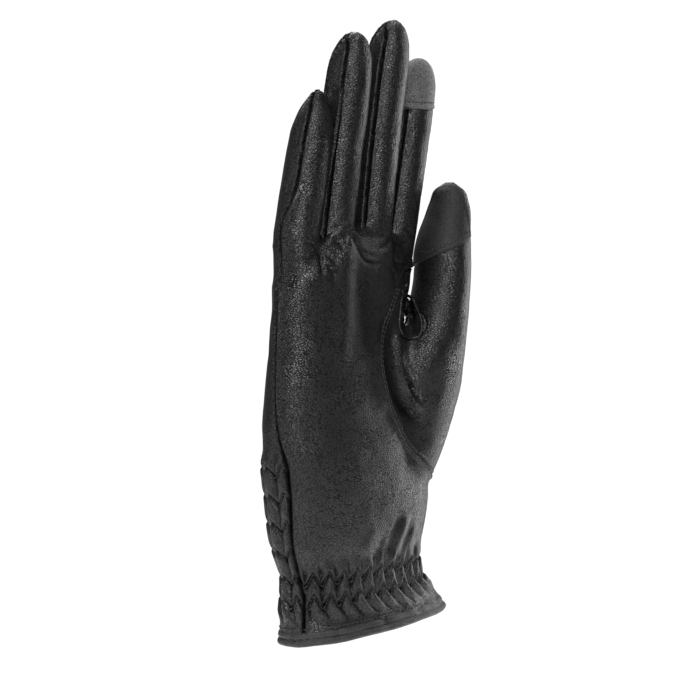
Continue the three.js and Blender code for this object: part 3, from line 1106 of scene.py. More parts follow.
    def label(self, place: Array) -> Array:
        """Returns the number of the panel that each place on the skin belongs to.

        Args:
            place: Middles of the skin's faces.

        Returns:
            The numbers, in the order of Panel.
        """
        panels = list(Panel)
        nearest, across, _ = self.on_finger(place)
        side = self.side_field(place)
        out = np.where(side < 0, panels.index(Panel.PALM), panels.index(Panel.BACK))
        front, rear = self.front_field(place), self.back_field(place)
        for pair, panel in enumerate((Panel.LITTLE_RING, Panel.RING_MIDDLE, Panel.MIDDLE_INDEX)):
            between = ((nearest == pair) & (across > 0)) | ((nearest == pair + 1) & (across < 0))
            over = between & (self.floor_field(place, pair) > 0)
            out[over & (front < 0)] = panels.index(Panel.PALM)
            out[over & (rear > 0)] = panels.index(Panel.BACK)
            out[over & (front >= 0) & (rear <= 0)] = panels.index(panel)
        out[(nearest == 3) & (place[:, 2] > self.index_hem(place))] = panels.index(Panel.INDEX_TIP)
        front_thumb = (side < 0) & (self.thumb_field(place, self.palm_curve) < 0)
        rear_thumb = (side >= 0) & (self.thumb_field(place, self.back_curve) < 0)
        low = place[:, 2] < self.palm_curve[0, 1]
        tube = (place[:, 2] < self.form.sizes.thumb_top + 3) & (place[:, 0] > self.parting(place[:, 2]))
        tube &= place[:, 2] > self.form.sizes.crotch_height + self.above_crotch
        tube &= place[:, 0] > self.thumb_from
        tube &= ~((place[:, 2] > self.index_behind[0]) & (place[:, 1] > self.index_behind[1]))
        thumb = (low & (front_thumb | rear_thumb)) | (tube & self.on_thumb(place))
        out[thumb] = panels.index(Panel.THUMB)
        lower, side_tip = self.thumb_tip_fields(place)
        out[thumb & (lower > 0) & (side_tip > 0)] = panels.index(Panel.THUMB_TIP)
        out[(self.gusset_field(place) < 0)] = panels.index(Panel.GUSSET)
        return out

    def on_thumb(self, place: Array) -> Array:
        """Returns which places lie on the thumb's own tube.

        Args:
            place: Points of the skin, one a row.

        Returns:
            True on the thumb.
        """
        z = place[:, 2]
        tx, ty, tw, td = self.form.thumb_section(z)
        thumb = np.hypot((place[:, 0] - tx) / tw, (place[:, 1] - ty) / td)
        x, y = self.form.finger_line(INDEX, z)
        r = self.form.finger_radius(INDEX, z)
        index = np.hypot((place[:, 0] - x) / r, (place[:, 1] - y) / r)
        nearer = np.abs(thumb - 1) * tw < np.abs(index - 1) * r
        return (thumb < self.thumb_reach) & (nearer | (z < self.thumb_join))


# relief


@dataclass(frozen=True)
class Fold:
    """A ridge or crease drawn on the palm as the viewer sees it.

    Its points are millimetres across and up the sketch plane, its height is positive for a ridge,
    and reach is the share of its length over which each end fades out.
    """

    points: tuple[tuple[float, float], ...]
    height: float
    width: float
    reach: float = 0.25


@dataclass(frozen=True)
class SketchPlane:
    """The plane that the viewer sees: across it and up, through the mouth of the cuff."""

    azimuth: float = math.radians(-48)
    distance: float = 1000.0
    level: float = 111.0

    def look(self, place: Array) -> Array:
        """Returns where places appear in the plane.

        Args:
            place: Points, one a row.

        Returns:
            Across and up, one row for each point.
        """
        c, s = math.cos(self.azimuth), math.sin(self.azimuth)
        across = place[:, 0] * c + place[:, 1] * s
        depth = -place[:, 0] * s + place[:, 1] * c
        near = self.distance / (self.distance + depth)
        return np.stack([across * near, self.level + (place[:, 2] - self.level) * near], axis=1)

    def facing(self, normal: Array) -> Array:
        """Returns how far normals face the viewer, from -1 to 1."""
        return normal[:, 0] * math.sin(self.azimuth) - normal[:, 1] * math.cos(self.azimuth)


FOLDS = (
    # the fold round the ball of the thumb: hollow, ridge and the crease beside it
    Fold(((10.6, 121), (9.4, 113), (9.8, 104), (11.3, 95), (13.8, 87.5), (18.4, 80), (24.5, 75)), -1.9, 2.6),
    Fold(((13.1, 116), (12.9, 110), (13.4, 104), (14.3, 96), (16.4, 89.5), (20, 84), (25, 80.5)), 1.4, 1.1),
    Fold(((14.4, 112), (14.6, 104), (16, 96.5), (18.4, 90.5), (22, 86)), -0.9, 0.8),
    # crotch of little and ring finger
    Fold(((-16.5, 143), (-15.9, 138), (-15.3, 132)), -0.8, 0.9),
    Fold(((-16.5, 142), (-20, 139.5), (-23.5, 139.5)), -0.35, 0.8),
    Fold(((-16, 142), (-12.5, 139.5), (-9.5, 136)), -0.4, 0.8),
    Fold(((-13.5, 146), (-11, 148.5), (-8, 148)), 0.5, 1.3),
    # crotch of ring and middle finger
    Fold(((-3.8, 151), (-5.5, 147), (-6.2, 142)), -0.5, 1.0),
    Fold(((-3.8, 151), (1, 148), (4, 147.5)), -0.3, 0.8),
    # crotch of middle and index finger, and the index root
    Fold(((11.5, 148), (13.5, 142), (16, 138)), -0.6, 0.9),
    Fold(((12.5, 144), (12.8, 138), (14.6, 133)), -0.45, 0.8),
    Fold(((14.5, 141), (16.2, 137), (17.4, 134)), 0.5, 0.8),
    Fold(((16, 152), (18.2, 149), (20, 146.5)), -0.4, 0.7),
    # wrinkles round the crotches and on the pad under the fingers
    Fold(((-16.2, 141), (-19.5, 144.5), (-22.5, 145)), -0.4, 0.7),
    Fold(((-15.6, 139), (-12, 134.5), (-10.8, 129)), -0.4, 0.8),
    Fold(((-11.5, 150.5), (-8.2, 151.8), (-5, 150.8)), -0.5, 0.8),
    Fold(((-11.8, 146.3), (-9, 145), (-7.4, 141.5)), -0.55, 0.7),
    Fold(((-4.6, 150.5), (-2.2, 143.5), (2.5, 138.5), (8, 137)), -0.7, 1.3),
    Fold(((-3.5, 146.5), (0.6, 141.8), (6, 141), (10.6, 143.5)), 0.35, 1.6),
    Fold(((11.2, 148), (8.8, 144), (5.4, 142.5)), -0.5, 0.8),
    Fold(((11.8, 146), (14.8, 144.6), (18.2, 146.5)), -0.5, 0.6),
    Fold(((12.4, 142), (15.2, 140.4), (18, 141.5)), 0.5, 0.7),
    Fold(((12.2, 139), (15, 137.2), (17.6, 136.6)), -0.5, 0.6),
    Fold(((10.6, 137), (12.4, 132.5), (12.2, 127)), -0.4, 0.8),
    # long soft ridges down the palm
    Fold(((-7.5, 165), (-6.9, 150), (-6, 135), (-6.6, 122), (-7.5, 108), (-8.5, 92)), 0.9, 3.0),
    Fold(((5.5, 108), (6.2, 98), (7.8, 88), (10, 78)), 0.8, 2.2),
    Fold(((-1.5, 140), (-0.5, 126), (1, 112), (1.5, 98)), -0.8, 3.6),
    Fold(((-26, 150), (-27.5, 128), (-29, 104), (-30, 84)), -0.3, 2.5),
    # long folds drawn down to the gathers
    Fold(((18, 43), (14.5, 34), (11.5, 26), (9.3, 21)), 0.6, 1.5),
    Fold(((15, 42), (12, 33), (9, 25)), -0.45, 1.4),
    Fold(((20.8, 39), (17.5, 31), (14.3, 22)), 0.6, 1.4),
    Fold(((19.4, 42), (16.2, 32), (13, 23)), -0.4, 1.2),
    Fold(((22.5, 34), (19.5, 27), (17, 22)), 0.7, 1.1),
    Fold(((6, 37), (2.5, 31), (-0.6, 25)), 0.4, 1.8),
    Fold(((8.5, 34), (6, 28), (3.6, 22)), -0.4, 1.3),
    Fold(((-23, 30), (-19, 25), (-16.5, 20)), 0.35, 1.5),
)


WELT = (
    (16.9, 129.9), (14.9, 124.2), (14.2, 118.5), (14.2, 112.0), (16.1, 109.3), (19.2, 108.9), (21.6, 109.6),
    (22.5, 112.2), (22.2, 115.8), (20.7, 120.0), (18.6, 125.0),
)


THUMB_TIP_ROW = (
    (21.6, 142.3), (24.5, 141.9), (26.8, 142.6), (30.6, 143.8), (34.5, 145.7), (38.3, 147.8), (40.9, 149.9),
)


@dataclass(frozen=True)
class Gathers:
    """Zigzag rows of elastic stitching that draw the leather in round the wrist."""

    count: int = 26
    pitch: float = 7.2
    palm_rows: tuple[float, ...] = (14.0, 21.6)
    back_rows: tuple[float, ...] = (14.0, 21.6, 31.0, 40.5, 50.0, 59.5)
    swing: float = 2.45
    groove: float = 1.3
    groove_width: float = 0.6
    swell: float = 2.1
    squareness: float = 2.3
    level: float = 18.0
    skirt_lean: float = 0.45
    puff_power: float = 0.8
    puff_middle: float = 0.35
    lead_in: tuple[float, float] = (8.5, 2.5)
    lead_out: tuple[float, float] = (1.0, 9.0)
    end: float = 80.0

    def table(self, form: HandForm) -> tuple[Array, Array]:
        """Returns angles round the wrist and how many gathers lie before each.

        Args:
            form: The hand's form.

        Returns:
            The angles and the counts.
        """
        angle = np.linspace(-math.pi, math.pi, 721)
        x, width, depth = form.section(np.array([self.level / form.sizes.palm_length]))
        c, s = np.cos(angle), np.sin(angle)
        px = np.sign(c) * np.abs(c) ** (2 / self.squareness) * width[0]
        py = np.sign(s) * np.abs(s) ** (2 / self.squareness) * depth[0]
        reach = np.concatenate([[0], np.cumsum(np.hypot(np.diff(px), np.diff(py)))])
        flat = np.arctan2(py / depth[0], px / width[0])
        flat[0], flat[-1] = -math.pi, math.pi
        return flat, reach / reach[-1] * self.count

    def tooth(self, form: HandForm, place: Array, height: Array) -> Array:
        """Returns how many gathers lie before each place, round the wrist from the little finger's edge.

        Args:
            form: The hand's form.
            place: Points of the skin, one a row.
            height: Their heights above the mouth.

        Returns:
            The counts.
        """
        x, width, depth = form.section(height / form.sizes.palm_length)
        angle = np.arctan2(place[:, 1] / depth, (place[:, 0] - x) / width)
        return np.interp(angle, *self.table(form))

    def zigzag(self, tooth: Array) -> Array:
        """Returns the zigzag's swing: 1 at the peak of each gather and -1 between two."""
        return 1 - 4 * np.abs(np.mod(tooth, 1) - 0.5)

    def relief(self, form: HandForm, place: Array, palm: Array) -> tuple[Array, Array]:
        """Returns how far the gathers raise or sink the skin.

        Args:
            form: The hand's form.
            place: Points of the skin.
            palm: 1 on the palm and 0 on the back.

        Returns:
            The offset along the normal, and how near each point is to a row, from 0 to 1.
        """
        height = form.above_hem(place)
        tooth = self.tooth(form, place, height)
        out = np.zeros(len(place))
        groove = np.zeros(len(place))
        for rows, share in ((self.palm_rows, palm), (self.back_rows, 1 - palm)):
            lean = np.where(height < rows[0], self.skirt_lean * (rows[0] - height) / self.pitch, 0)
            puff = np.abs(np.sin(math.pi * (tooth - lean))) ** self.puff_power
            rise = step(rows[0] - self.lead_in[0], rows[0] - self.lead_in[1], height)
            rise *= 1 - step(rows[-1] + self.lead_out[0], rows[-1] + self.lead_out[1], height)
            add = self.swell * rise * (puff - self.puff_middle)
            line = self.swing * self.zigzag(tooth)
            slope = math.cos(math.atan(4 * self.swing / self.pitch))
            for row in rows:
                near = bell((height - row - line) * slope, self.groove_width)
                add -= self.groove * near
                groove = np.maximum(groove, near * share)
            out += add * share
        low = height < self.end
        return np.where(low, out, 0), np.where(low, groove, 0)


@dataclass(frozen=True)
class Bead:
    """A ridge or groove along a seam: its height, its distance from the seam and its width."""

    height: float
    away: float
    width: float

    def at(self, distance: Array) -> Array:
        """Returns its offset at distances from the seam."""
        return self.height * bell(distance - self.away, self.width)


@dataclass
class Relief:
    """Everything that moves the skin in or out: seams, gathers, folds and soft unevenness."""

    form: HandForm
    pattern: Pattern
    plane: SketchPlane = SketchPlane()
    gathers: Gathers = Gathers()
    seam_depth: float = 0.75
    seam_width: float = 0.48
    lump: float = 0.38
    fold_gain: float = 1.4
    narrow: float = 1.65
    waver_size: float = 2.4
    waver: float = 0.3
    index_lift: float = 0.2
    index_hem: tuple[Bead, ...] = (Bead(0.3, 0.9, 1.0), Bead(-0.22, 2.5, 0.45))
    thumb_lift: float = 0.25
    thumb_hem: tuple[Bead, ...] = (Bead(0.2, 1.2, 0.9), Bead(-0.1, 2.4, 0.4))
    turned_lip: Bead = Bead(0.3, 1.15, 0.6)
    turned_pucker: Bead = Bead(0.2, 2.4, 1.3)
    lapped_groove: Bead = Bead(-0.6, 0.0, 0.42)
    lapped_lip: Bead = Bead(0.5, 1.0, 0.9)
    lapped_lip_thumb: Bead = Bead(0.1, 1.0, 0.9)
    hemmed_groove: Bead = Bead(-0.25, 0.0, 0.35)
    root_calm: Bead = Bead(0.65, 144.0, 6.0)
    calm: tuple[float, float] = (0.2, 2.2)
    crotch_sink: float = -2.6
    crotch_slope: tuple[float, float] = (0.3, 3.2)
    # Painted shade in the seam grooves, gather grooves and fold creases: how far the colour is darkened and
    # the reflection dimmed.
    turned_painted_shade: Bead = Bead(1.0, 0.0, 0.8)
    lapped_painted_shade: Bead = Bead(0.8, 0.0, 0.7)
    groove_painted_shade: float = 0.85
    fold_painted_shade: float = 0.7

    def seam_kind(self, a: int, b: int) -> Seam:
        """Returns how two panels, given by number, are joined.

        Args:
            a: One panel's number.
            b: The other's.

        Returns:
            The kind.
        """
        pair = {list(Panel)[a], list(Panel)[b]}
        if pair & {Panel.INDEX_TIP, Panel.THUMB_TIP}:
            return Seam.HEMMED
        if Panel.GUSSET in pair:
            return Seam.HEMMED
        if Panel.THUMB in pair:
            return Seam.LAPPED
        return Seam.TURNED

    def seams(self, skin: Skin, labels: Array) -> dict[Seam, Array]:
        """Returns the points of the skin on each kind of seam.

        Args:
            skin: The cut skin.
            labels: Each face's panel.

        Returns:
            The points for each kind.
        """
        pairs, of_face = skin.edges()
        low = np.full(len(pairs), 99)
        high = np.full(len(pairs), -1)
        for n in range(3):
            np.minimum.at(low, of_face[:, n], labels)
            np.maximum.at(high, of_face[:, n], labels)
        out: dict[Seam, list[Array]] = {kind: [] for kind in Seam}
        for a, b in set(zip(low[low != high].tolist(), high[low != high].tolist())):
            chosen = pairs[(low == a) & (high == b)]
            ends = skin.place[chosen]
            out[self.seam_kind(a, b)] += [ends[:, 0], ends[:, 1], ends.mean(axis=1)]
        return {kind: np.concatenate(rows) if rows else np.empty((0, 3)) for kind, rows in out.items()}

    def distance(self, place: Array, points: Array) -> Array:
        """Returns the distance from each place to the nearest of some points.

        Args:
            place: Points, one a row.
            points: The points to look for.

        Returns:
            The distances.
        """
        if not len(points):
            return np.full(len(place), 99.0)
        tree = KDTree(len(points))
        for n, point in enumerate(points):
            tree.insert(point, n)
        tree.balance()
        return np.array([tree.find(p)[2] for p in place])

    def folds(self, place: Array, normal: Array) -> Array:
        """Returns the offset of the folds drawn on the palm.

        Args:
            place: Points of the skin, one a row.
            normal: Their normals.

        Returns:
            The offsets.
        """
        seen = self.plane.look(place)
        facing = step(-0.05, 0.35, self.plane.facing(normal))
        out = np.zeros(len(place))
        for fold in FOLDS:
            line = flow(np.array(fold.points, dtype=float), 14)
            near = (np.abs(seen - line.mean(axis=0)) < np.ptp(line, axis=0) / 2 + 3 * fold.width).all(axis=1)
            _, share, gap = to_line(seen[near], line)
            ends = step(0, fold.reach, share) * (1 - step(1 - fold.reach, 1, share))
            gain = self.fold_gain if fold.width < self.narrow else 1.0
            out[near] += gain * fold.height * bell(gap, fold.width) * ends * facing[near]
        return out

    def crotch(self, place: Array, normal: Array) -> Array:
        """Returns how far the leather sinks inside the welt round the thumb's crotch.

        Args:
            place: Points of the skin, one a row.
            normal: Their normals.

        Returns:
            The offsets.
        """
        seen = self.plane.look(place)
        ring = np.array(WELT + WELT[:1], dtype=float)
        _, _, gap = to_line(seen, ring)
        inside = np.zeros(len(seen), dtype=bool)
        for (ax, ay), (bx, by) in zip(ring[:-1], ring[1:]):
            spans = (ay > seen[:, 1]) != (by > seen[:, 1])
            inside ^= spans & (seen[:, 0] < ax + (bx - ax) * (seen[:, 1] - ay) / (by - ay + 1e-9))
        inside &= self.plane.facing(normal) > -0.2
        return np.where(inside, self.crotch_sink * step(*self.crotch_slope, gap), 0)

    def lumps(self, place: Array) -> Array:
        """Returns a soft unevenness, as leather over a hand has.

        Args:
            place: Points of the skin, one a row.

        Returns:
            The offsets.
        """
        away = Vector((9, 2, 5))
        return np.array([
            noise.noise(Vector(p) / 11) * 0.75 + noise.noise(Vector(p) / 4.5 + away) * 0.3 for p in place
        ]) * self.lump

    def raise_tips(self, place: Array, labels: Array) -> Array:
        """Returns how far the two smooth tips stand proud, with their folded hems.

        Args:
            place: Points of the skin, one a row.
            labels: Their panels.

        Returns:
            The offsets.
        """
        panels = list(Panel)
        tip = labels == panels.index(Panel.INDEX_TIP)
        above = place[:, 2] - self.pattern.index_hem(place)
        out = np.where(tip, self.index_lift + sum(bead.at(above) for bead in self.index_hem), 0)
        pad = labels == panels.index(Panel.THUMB_TIP)
        lower, side = self.pattern.thumb_tip_fields(place)
        edge = np.minimum(lower, side)
        out += np.where(pad, self.thumb_lift + sum(bead.at(edge) for bead in self.thumb_hem), 0)
        return out

    def apply(self, skin: Skin, labels: Array) -> tuple[Array, Array]:
        """Works out the finished places of the skin's points.

        Args:
            skin: The cut skin.
            labels: Each face's panel.

        Returns:
            The places, and each point's painted shade from 0 to 1: darkness painted into the seam grooves,
            gather grooves and fold creases.
        """
        normal = skin.normals()
        place = skin.place
        side = self.pattern.side_field(place)
        palm = step(-1, 1, -side)
        point_label = np.zeros(len(place), dtype=int)
        for n in range(3):
            point_label[skin.faces[:, n]] = labels
        seams = self.seams(skin, labels)
        turned = self.distance(place, seams[Seam.TURNED])
        lapped = self.distance(place, seams[Seam.LAPPED])
        hemmed = self.distance(place, seams[Seam.HEMMED])
        waver = np.array([noise.noise(Vector(p) / self.waver_size) for p in place])
        roots = 1 - self.root_calm.at(place[:, 2]) * (place[:, 0] < self.form.sizes.hand_to)
        offset = -self.seam_depth * roots * (1 + self.waver * waver) * bell(turned, self.seam_width)
        offset += (1 + waver) * self.turned_lip.at(turned) - waver * self.turned_pucker.at(turned)
        offset += self.lapped_groove.at(lapped)
        thumb = point_label == list(Panel).index(Panel.THUMB)
        offset += np.where(thumb, self.lapped_lip_thumb.at(lapped), self.lapped_lip.at(lapped))
        offset += self.hemmed_groove.at(hemmed)
        offset += self.raise_tips(place, point_label) * (hemmed > 0.02)
        calm = step(*self.calm, np.minimum(turned, lapped))
        gathered, groove = self.gathers.relief(self.form, place, palm)
        offset += gathered * (0.35 + 0.65 * calm)
        folded = self.folds(place, normal)
        offset += folded * (0.3 + 0.7 * calm)
        offset += self.crotch(place, normal)
        offset += self.lumps(place) * calm
        # Painted shade: darkness painted into the seam grooves, gather grooves and fold creases, where shade
        # falls.
        near = np.maximum(self.turned_painted_shade.at(turned), self.lapped_painted_shade.at(lapped))
        crease_painted_shade = np.maximum(self.groove_painted_shade * groove, self.fold_painted_shade * np.clip(-folded, 0, 1))
        near = np.maximum(near, crease_painted_shade)
        return place + normal * offset[:, None], near


# finishes


class Graph:
    """A new material's nodes, each added with its values and links in one step."""

    def __init__(self, name: str) -> None:
        """Makes the material.

        Args:
            name: The material's name.
        """
        self.material = bpy.data.materials.new(name)
        self.material.use_nodes = True
        self.tree = self.material.node_tree
        self.shader = self.tree.nodes["Principled BSDF"]

    def fill(self, node: bpy.types.Node, inputs: dict[str | int, object]) -> None:
        """Fills a node's inputs.

        Args:
            node: The node.
            inputs: For each input, the socket that it is joined to, or else its value.
        """
        for key, value in inputs.items():
            if isinstance(value, bpy.types.NodeSocket):
                self.tree.links.new(value, node.inputs[key])
            else:
                node.inputs[key].default_value = value

    def add(
        self, kind: str, inputs: dict[str | int, object], out: str | int, **settings: str
    ) -> bpy.types.NodeSocket:
        """Adds a node.

        Args:
            kind: Its type, without the usual prefix.
            inputs: For each input, the socket that it is joined to, or else its value.
            out: The output that is used.
            **settings: Its own settings.

        Returns:
            The output's socket.
        """
        node = self.tree.nodes.new("ShaderNode" + kind)
        for key, value in settings.items():
            setattr(node, key, value)
        self.fill(node, inputs)
        return node.outputs[out]

    def span(
        self, source: bpy.types.NodeSocket, low: tuple[float, float], to: tuple[float, float],
        way: str = "LINEAR",
    ) -> bpy.types.NodeSocket:
        """Maps a range of values to another.

        Args:
            source: The values.
            low: The least and the greatest value read.
            to: What these become.
            way: How it runs between them.

        Returns:
            The mapped values.
        """
        inputs = {"Value": source, "From Min": low[0], "From Max": low[1], "To Min": to[0], "To Max": to[1]}
        return self.add("MapRange", inputs, "Result", interpolation_type=way)

    def blend(self, first: object, second: object, share: bpy.types.NodeSocket) -> bpy.types.NodeSocket:
        """Mixes two colours.

        Args:
            first: A colour or a socket, seen where the share is 0.
            second: Another, seen where it is 1.
            share: How much of the second is seen.

        Returns:
            The mixed colour.
        """
        ends = [(*c, 1.0) if isinstance(c, tuple) else c for c in (first, second)]
        return self.add("Mix", {0: share, 6: ends[0], 7: ends[1]}, 2, data_type="RGBA")


@dataclass(frozen=True)
class LeatherFinish:
    """A black leather with its grain and sheen, its grain tops and crevices painted lighter and darker as
    painted highlight and painted shade.
    """

    name: str
    colour: tuple[float, float, float] = (0.0025, 0.0025, 0.0027)
    # a painted highlight: the lighter colour of the grain's tops, over the painted shade of the darker
    # crevices
    grain_top_highlight: tuple[float, float, float] = (0.0085, 0.0085, 0.0088)
    roughness: float = 0.31
    roughness_swing: float = 0.12
    grain: float = 800.0
    grain_depth: float = 0.34
    grain_height: float = 0.0004
    wander: float = 420.0
    wander_reach: float = 0.0006
    pore_share: float = 0.2
    clouds: float = 65.0
    stretch: float = 1.9
    specular: float = 0.44
    sheen: float = 0.0

    def build(self) -> bpy.types.Material:
        """Returns the material, a pebbled grain over fine pores and broad cloudy variation.

        Returns:
            The material, painted darker and duller where its painted-shade attribute is high: painted shade
            in the seam grooves, the gather grooves and the fold creases.
        """
        graph = Graph(self.name)
        where = graph.add("TexCoord", {}, "Object")
        along = graph.add("Mapping", {"Vector": where, "Scale": (1.0, 1.0, self.stretch)}, "Vector")
        wander = graph.add("TexNoise", {"Vector": along, "Scale": self.wander, "Detail": 2.0}, "Color")
        reach = (self.wander_reach,) * 3
        bent = graph.add("VectorMath", {0: wander, 1: reach, 2: along}, "Vector", operation="MULTIPLY_ADD")
        pebble_inputs = {"Vector": bent, "Scale": self.grain}
        pebble = graph.add("TexVoronoi", pebble_inputs, "Distance", feature="DISTANCE_TO_EDGE")
        dome = graph.span(pebble, (0.0, 0.27), (0.0, 1.0), "SMOOTHSTEP")
        pore = graph.add("TexNoise", {"Vector": along, "Scale": self.grain * 2.2, "Detail": 2.0}, "Fac")
        cloud = graph.add("TexNoise", {"Vector": where, "Scale": self.clouds, "Detail": 3.0}, "Fac")
        patch = graph.span(cloud, (0.35, 0.65), (0.6, 1.0))
        grain = graph.add("Math", {0: dome, 1: patch}, "Value", operation="MULTIPLY")
        both = graph.add("Math", {0: pore, 1: self.pore_share, 2: grain}, "Value", operation="MULTIPLY_ADD")
        bump_inputs = {"Height": both, "Strength": self.grain_depth, "Distance": self.grain_height}
        rough, smooth = self.roughness + self.roughness_swing, self.roughness - self.roughness_swing * 0.6
        # Painted shade from the points: darker colour and dimmer reflection in the seam grooves, gather
        # grooves and fold creases.
        edge = graph.add("Attribute", {}, "Fac", attribute_name="seam_and_crease_painted_shade")
        # The grain's tops take the lighter colour and its crevices the darker one: a painted highlight and
        # painted shade in the grain.
        tint = graph.blend(self.colour, self.grain_top_highlight, graph.span(both, (0.1, 0.9), (0.0, 1.0)))
        shine = graph.span(both, (0.1, 0.7), (self.specular * 0.5, self.specular))
        shade = graph.span(edge, (0.0, 1.0), (1.0, 0.3))
        graph.fill(graph.shader, {
            "Normal": graph.add("Bump", bump_inputs, "Normal"),
            "Roughness": graph.span(cloud, (0.3, 0.7), (rough, smooth)),
            "Base Color": graph.blend(tint, tuple(0.45 * c for c in self.colour), edge),
            "Specular IOR Level": graph.add("Math", {0: shine, 1: shade}, "Value", operation="MULTIPLY"),
            "Sheen Weight": self.sheen,
            "Sheen Roughness": 0.45,
        })
        return graph.material


@dataclass(frozen=True)
class ThreadFinish:
    """A black sewing thread with the twist of its strands."""

    name: str = "stitching"
    colour: tuple[float, float, float] = (0.012, 0.012, 0.013)

    def build(self) -> bpy.types.Material:
        """Returns the material.

        Returns:
            The material, with slanted strands.
        """
        graph = Graph(self.name)
        where = graph.add("TexCoord", {}, "Object")
        twist = graph.add("TexWave", {"Vector": where, "Scale": 1600.0}, "Fac", bands_direction="DIAGONAL")
        graph.fill(graph.shader, {
            "Base Color": graph.blend(self.colour, tuple(2.2 * c for c in self.colour), twist),
            "Normal": graph.add("Bump", {"Height": twist, "Strength": 0.4, "Distance": 0.0001}, "Normal"),
            "Roughness": 0.55,
        })
        return graph.material


@dataclass(frozen=True)
class FloorFinish:
    """A pale, evenly lit paper."""

    name: str = "pale_floor"
    colour: tuple[float, float, float] = (0.93, 0.93, 0.93)
    pale: tuple[float, float, float] = (0.96, 0.96, 0.96)

    def build(self) -> bpy.types.Material:
        """Returns the material.

        Returns:
            The material, which glows white.
        """
        graph = Graph(self.name)
        speck = graph.add("TexNoise", {"Scale": 30.0}, "Fac")
        graph.fill(graph.shader, {
            "Base Color": graph.blend(self.colour, self.pale, speck),
            "Roughness": 0.9,
            "Emission Color": (1.0, 1.0, 1.0, 1.0),
            "Emission Strength": 1.0,
        })
        return graph.material


GRAINED = LeatherFinish("grained_leather")
# The index tip's lighter grey is partly its own paler finish and partly a painted highlight for the light
# that it catches from the right.
INDEX_SMOOTH = LeatherFinish(
    "index_tip_leather", colour=(0.03, 0.03, 0.031), grain_top_highlight=(0.115, 0.115, 0.117), roughness=0.62,
    roughness_swing=0.05, grain=1500.0, grain_depth=0.6, stretch=1.0, sheen=0.3,
)
THUMB_SMOOTH = LeatherFinish(
    "thumb_tip_leather", colour=(0.006, 0.006, 0.0063), grain_top_highlight=(0.014, 0.014, 0.0142), roughness=0.58,
    roughness_swing=0.05, grain=1700.0, grain_depth=0.3, stretch=1.0,
)
BINDING = LeatherFinish(
    "binding_leather", colour=(0.012, 0.012, 0.0125), grain_top_highlight=(0.03, 0.03, 0.031), roughness=0.48, grain=1900.0,
    grain_depth=0.3, stretch=1.0,
)


# sub-assemblies


@dataclass
class LeatherShell:
    """The sewn leather of the glove: its panels with their seams, gathers and folds."""

    form: HandForm
    pattern: Pattern
    relief: Relief
    wall: float = SIZES.wall
    surface: BVHTree | None = None
    longest_edge: float = 0.6
    beside_side: float = 1.6
    beside_front: float = 1.35
    beside_thumb: float = 2.2
    beside_gusset: float = 2.5
    fingers_from: float = 138.0
    index_from: float = 20.0
    index_zone: tuple[float, float] = (1.4, 3.0)
    thumb_zone: tuple[float, float] = (1.0, 2.4)
    palm_gathers: float = 29.5
    back_gathers: float = 64.0
    strip_to: float = -24.0

    def fine_zone(self, place: Array) -> Array:
        """Returns which places need a finer mesh: beside seams and in the gathers.

        Args:
            place: Points of the skin, one a row.

        Returns:
            True where the mesh is refined.
        """
        pattern = self.pattern
        near = np.abs(pattern.side_field(place)) < self.beside_side
        high = place[:, 2] > self.fingers_from
        near |= high & (np.abs(pattern.front_field(place)) < self.beside_front)
        near |= np.abs(pattern.thumb_field(place, pattern.palm_curve)) < self.beside_thumb
        middle, reach = self.index_zone
        hem = np.abs(place[:, 2] - pattern.index_hem(place) - middle) < reach
        near |= hem & (place[:, 0] > self.index_from)
        lower, side = pattern.thumb_tip_fields(place)
        middle, reach = self.thumb_zone
        hem = np.abs(np.minimum(lower, side) - middle) < reach
        near |= hem & (place[:, 0] > pattern.thumb_from)
        height = self.form.above_hem(place)
        palm = pattern.side_field(place) < 0
        near |= (height < self.palm_gathers) & palm
        near |= (height < self.back_gathers) & ~palm & (place[:, 0] < self.strip_to)
        near |= np.abs(pattern.gusset_field(place)) < self.beside_gusset
        return near

    def build(self) -> list[bpy.types.Object]:
        """Returns the panels, sewn together along their seams.

        Returns:
            The panels, in the order of Panel.
        """
        skin = SkinMaker(self.form).build()
        LOG.info("skin: %d faces", len(skin.faces))
        skin.refine(self.fine_zone, self.longest_edge)
        skin.smooth(1, 0.5, False)
        self.pattern.cut(skin)
        labels = self.pattern.label(skin.place[skin.faces].mean(axis=1))
        skin.place = self.pattern.spread.close(skin.place)
        # near holds each point's painted shade in the seam grooves, gather grooves and fold creases.
        moved, near = self.relief.apply(skin, labels)
        self.surface = BVHTree.FromPolygons(moved.tolist(), skin.faces.tolist())
        LOG.info("skin after seams: %d faces", len(skin.faces))
        return [self.panel(panel, moved, near, skin.faces[labels == n]) for n, panel in enumerate(Panel)]

    def panel(self, panel: Panel, place: Array, near: Array, faces: Array) -> bpy.types.Object:
        """Makes one panel.

        Args:
            panel: Which.
            place: The finished places of all points of the skin.
            near: Each point's painted shade from 0 to 1, in the seam grooves, gather grooves and fold
                creases.
            faces: The panel's faces.

        Returns:
            The panel, with its wall.
        """
        used, back = np.unique(faces, return_inverse=True)
        obj = make_object(panel.value + "_leather", place[used], back.reshape(-1, 3))
        # The painted shade is kept on the points for the material.
        mark = obj.data.attributes.new("seam_and_crease_painted_shade", "FLOAT", "POINT")
        mark.data.foreach_set("value", near[used].astype(np.float32))
        choose(obj)
        wall = obj.modifiers.new("wall", "SOLIDIFY")
        wall.thickness = self.wall * MM
        wall.offset = -1
        bpy.ops.object.modifier_apply(modifier=wall.name)
        bpy.ops.object.shade_smooth_by_angle(angle=math.radians(50))
        finish = {Panel.INDEX_TIP: INDEX_SMOOTH, Panel.THUMB_TIP: THUMB_SMOOTH}.get(panel, GRAINED)
        finish_piece(obj, material_of(finish), (panel.value,))
        return obj


MATERIALS: dict[str, bpy.types.Material] = {}


def material_of(finish: LeatherFinish | ThreadFinish) -> bpy.types.Material:
    """Returns a finish's material, made once.

    Args:
        finish: The finish.

    Returns:
        The material.
    """
    if finish.name not in MATERIALS:
        MATERIALS[finish.name] = finish.build()
    return MATERIALS[finish.name]


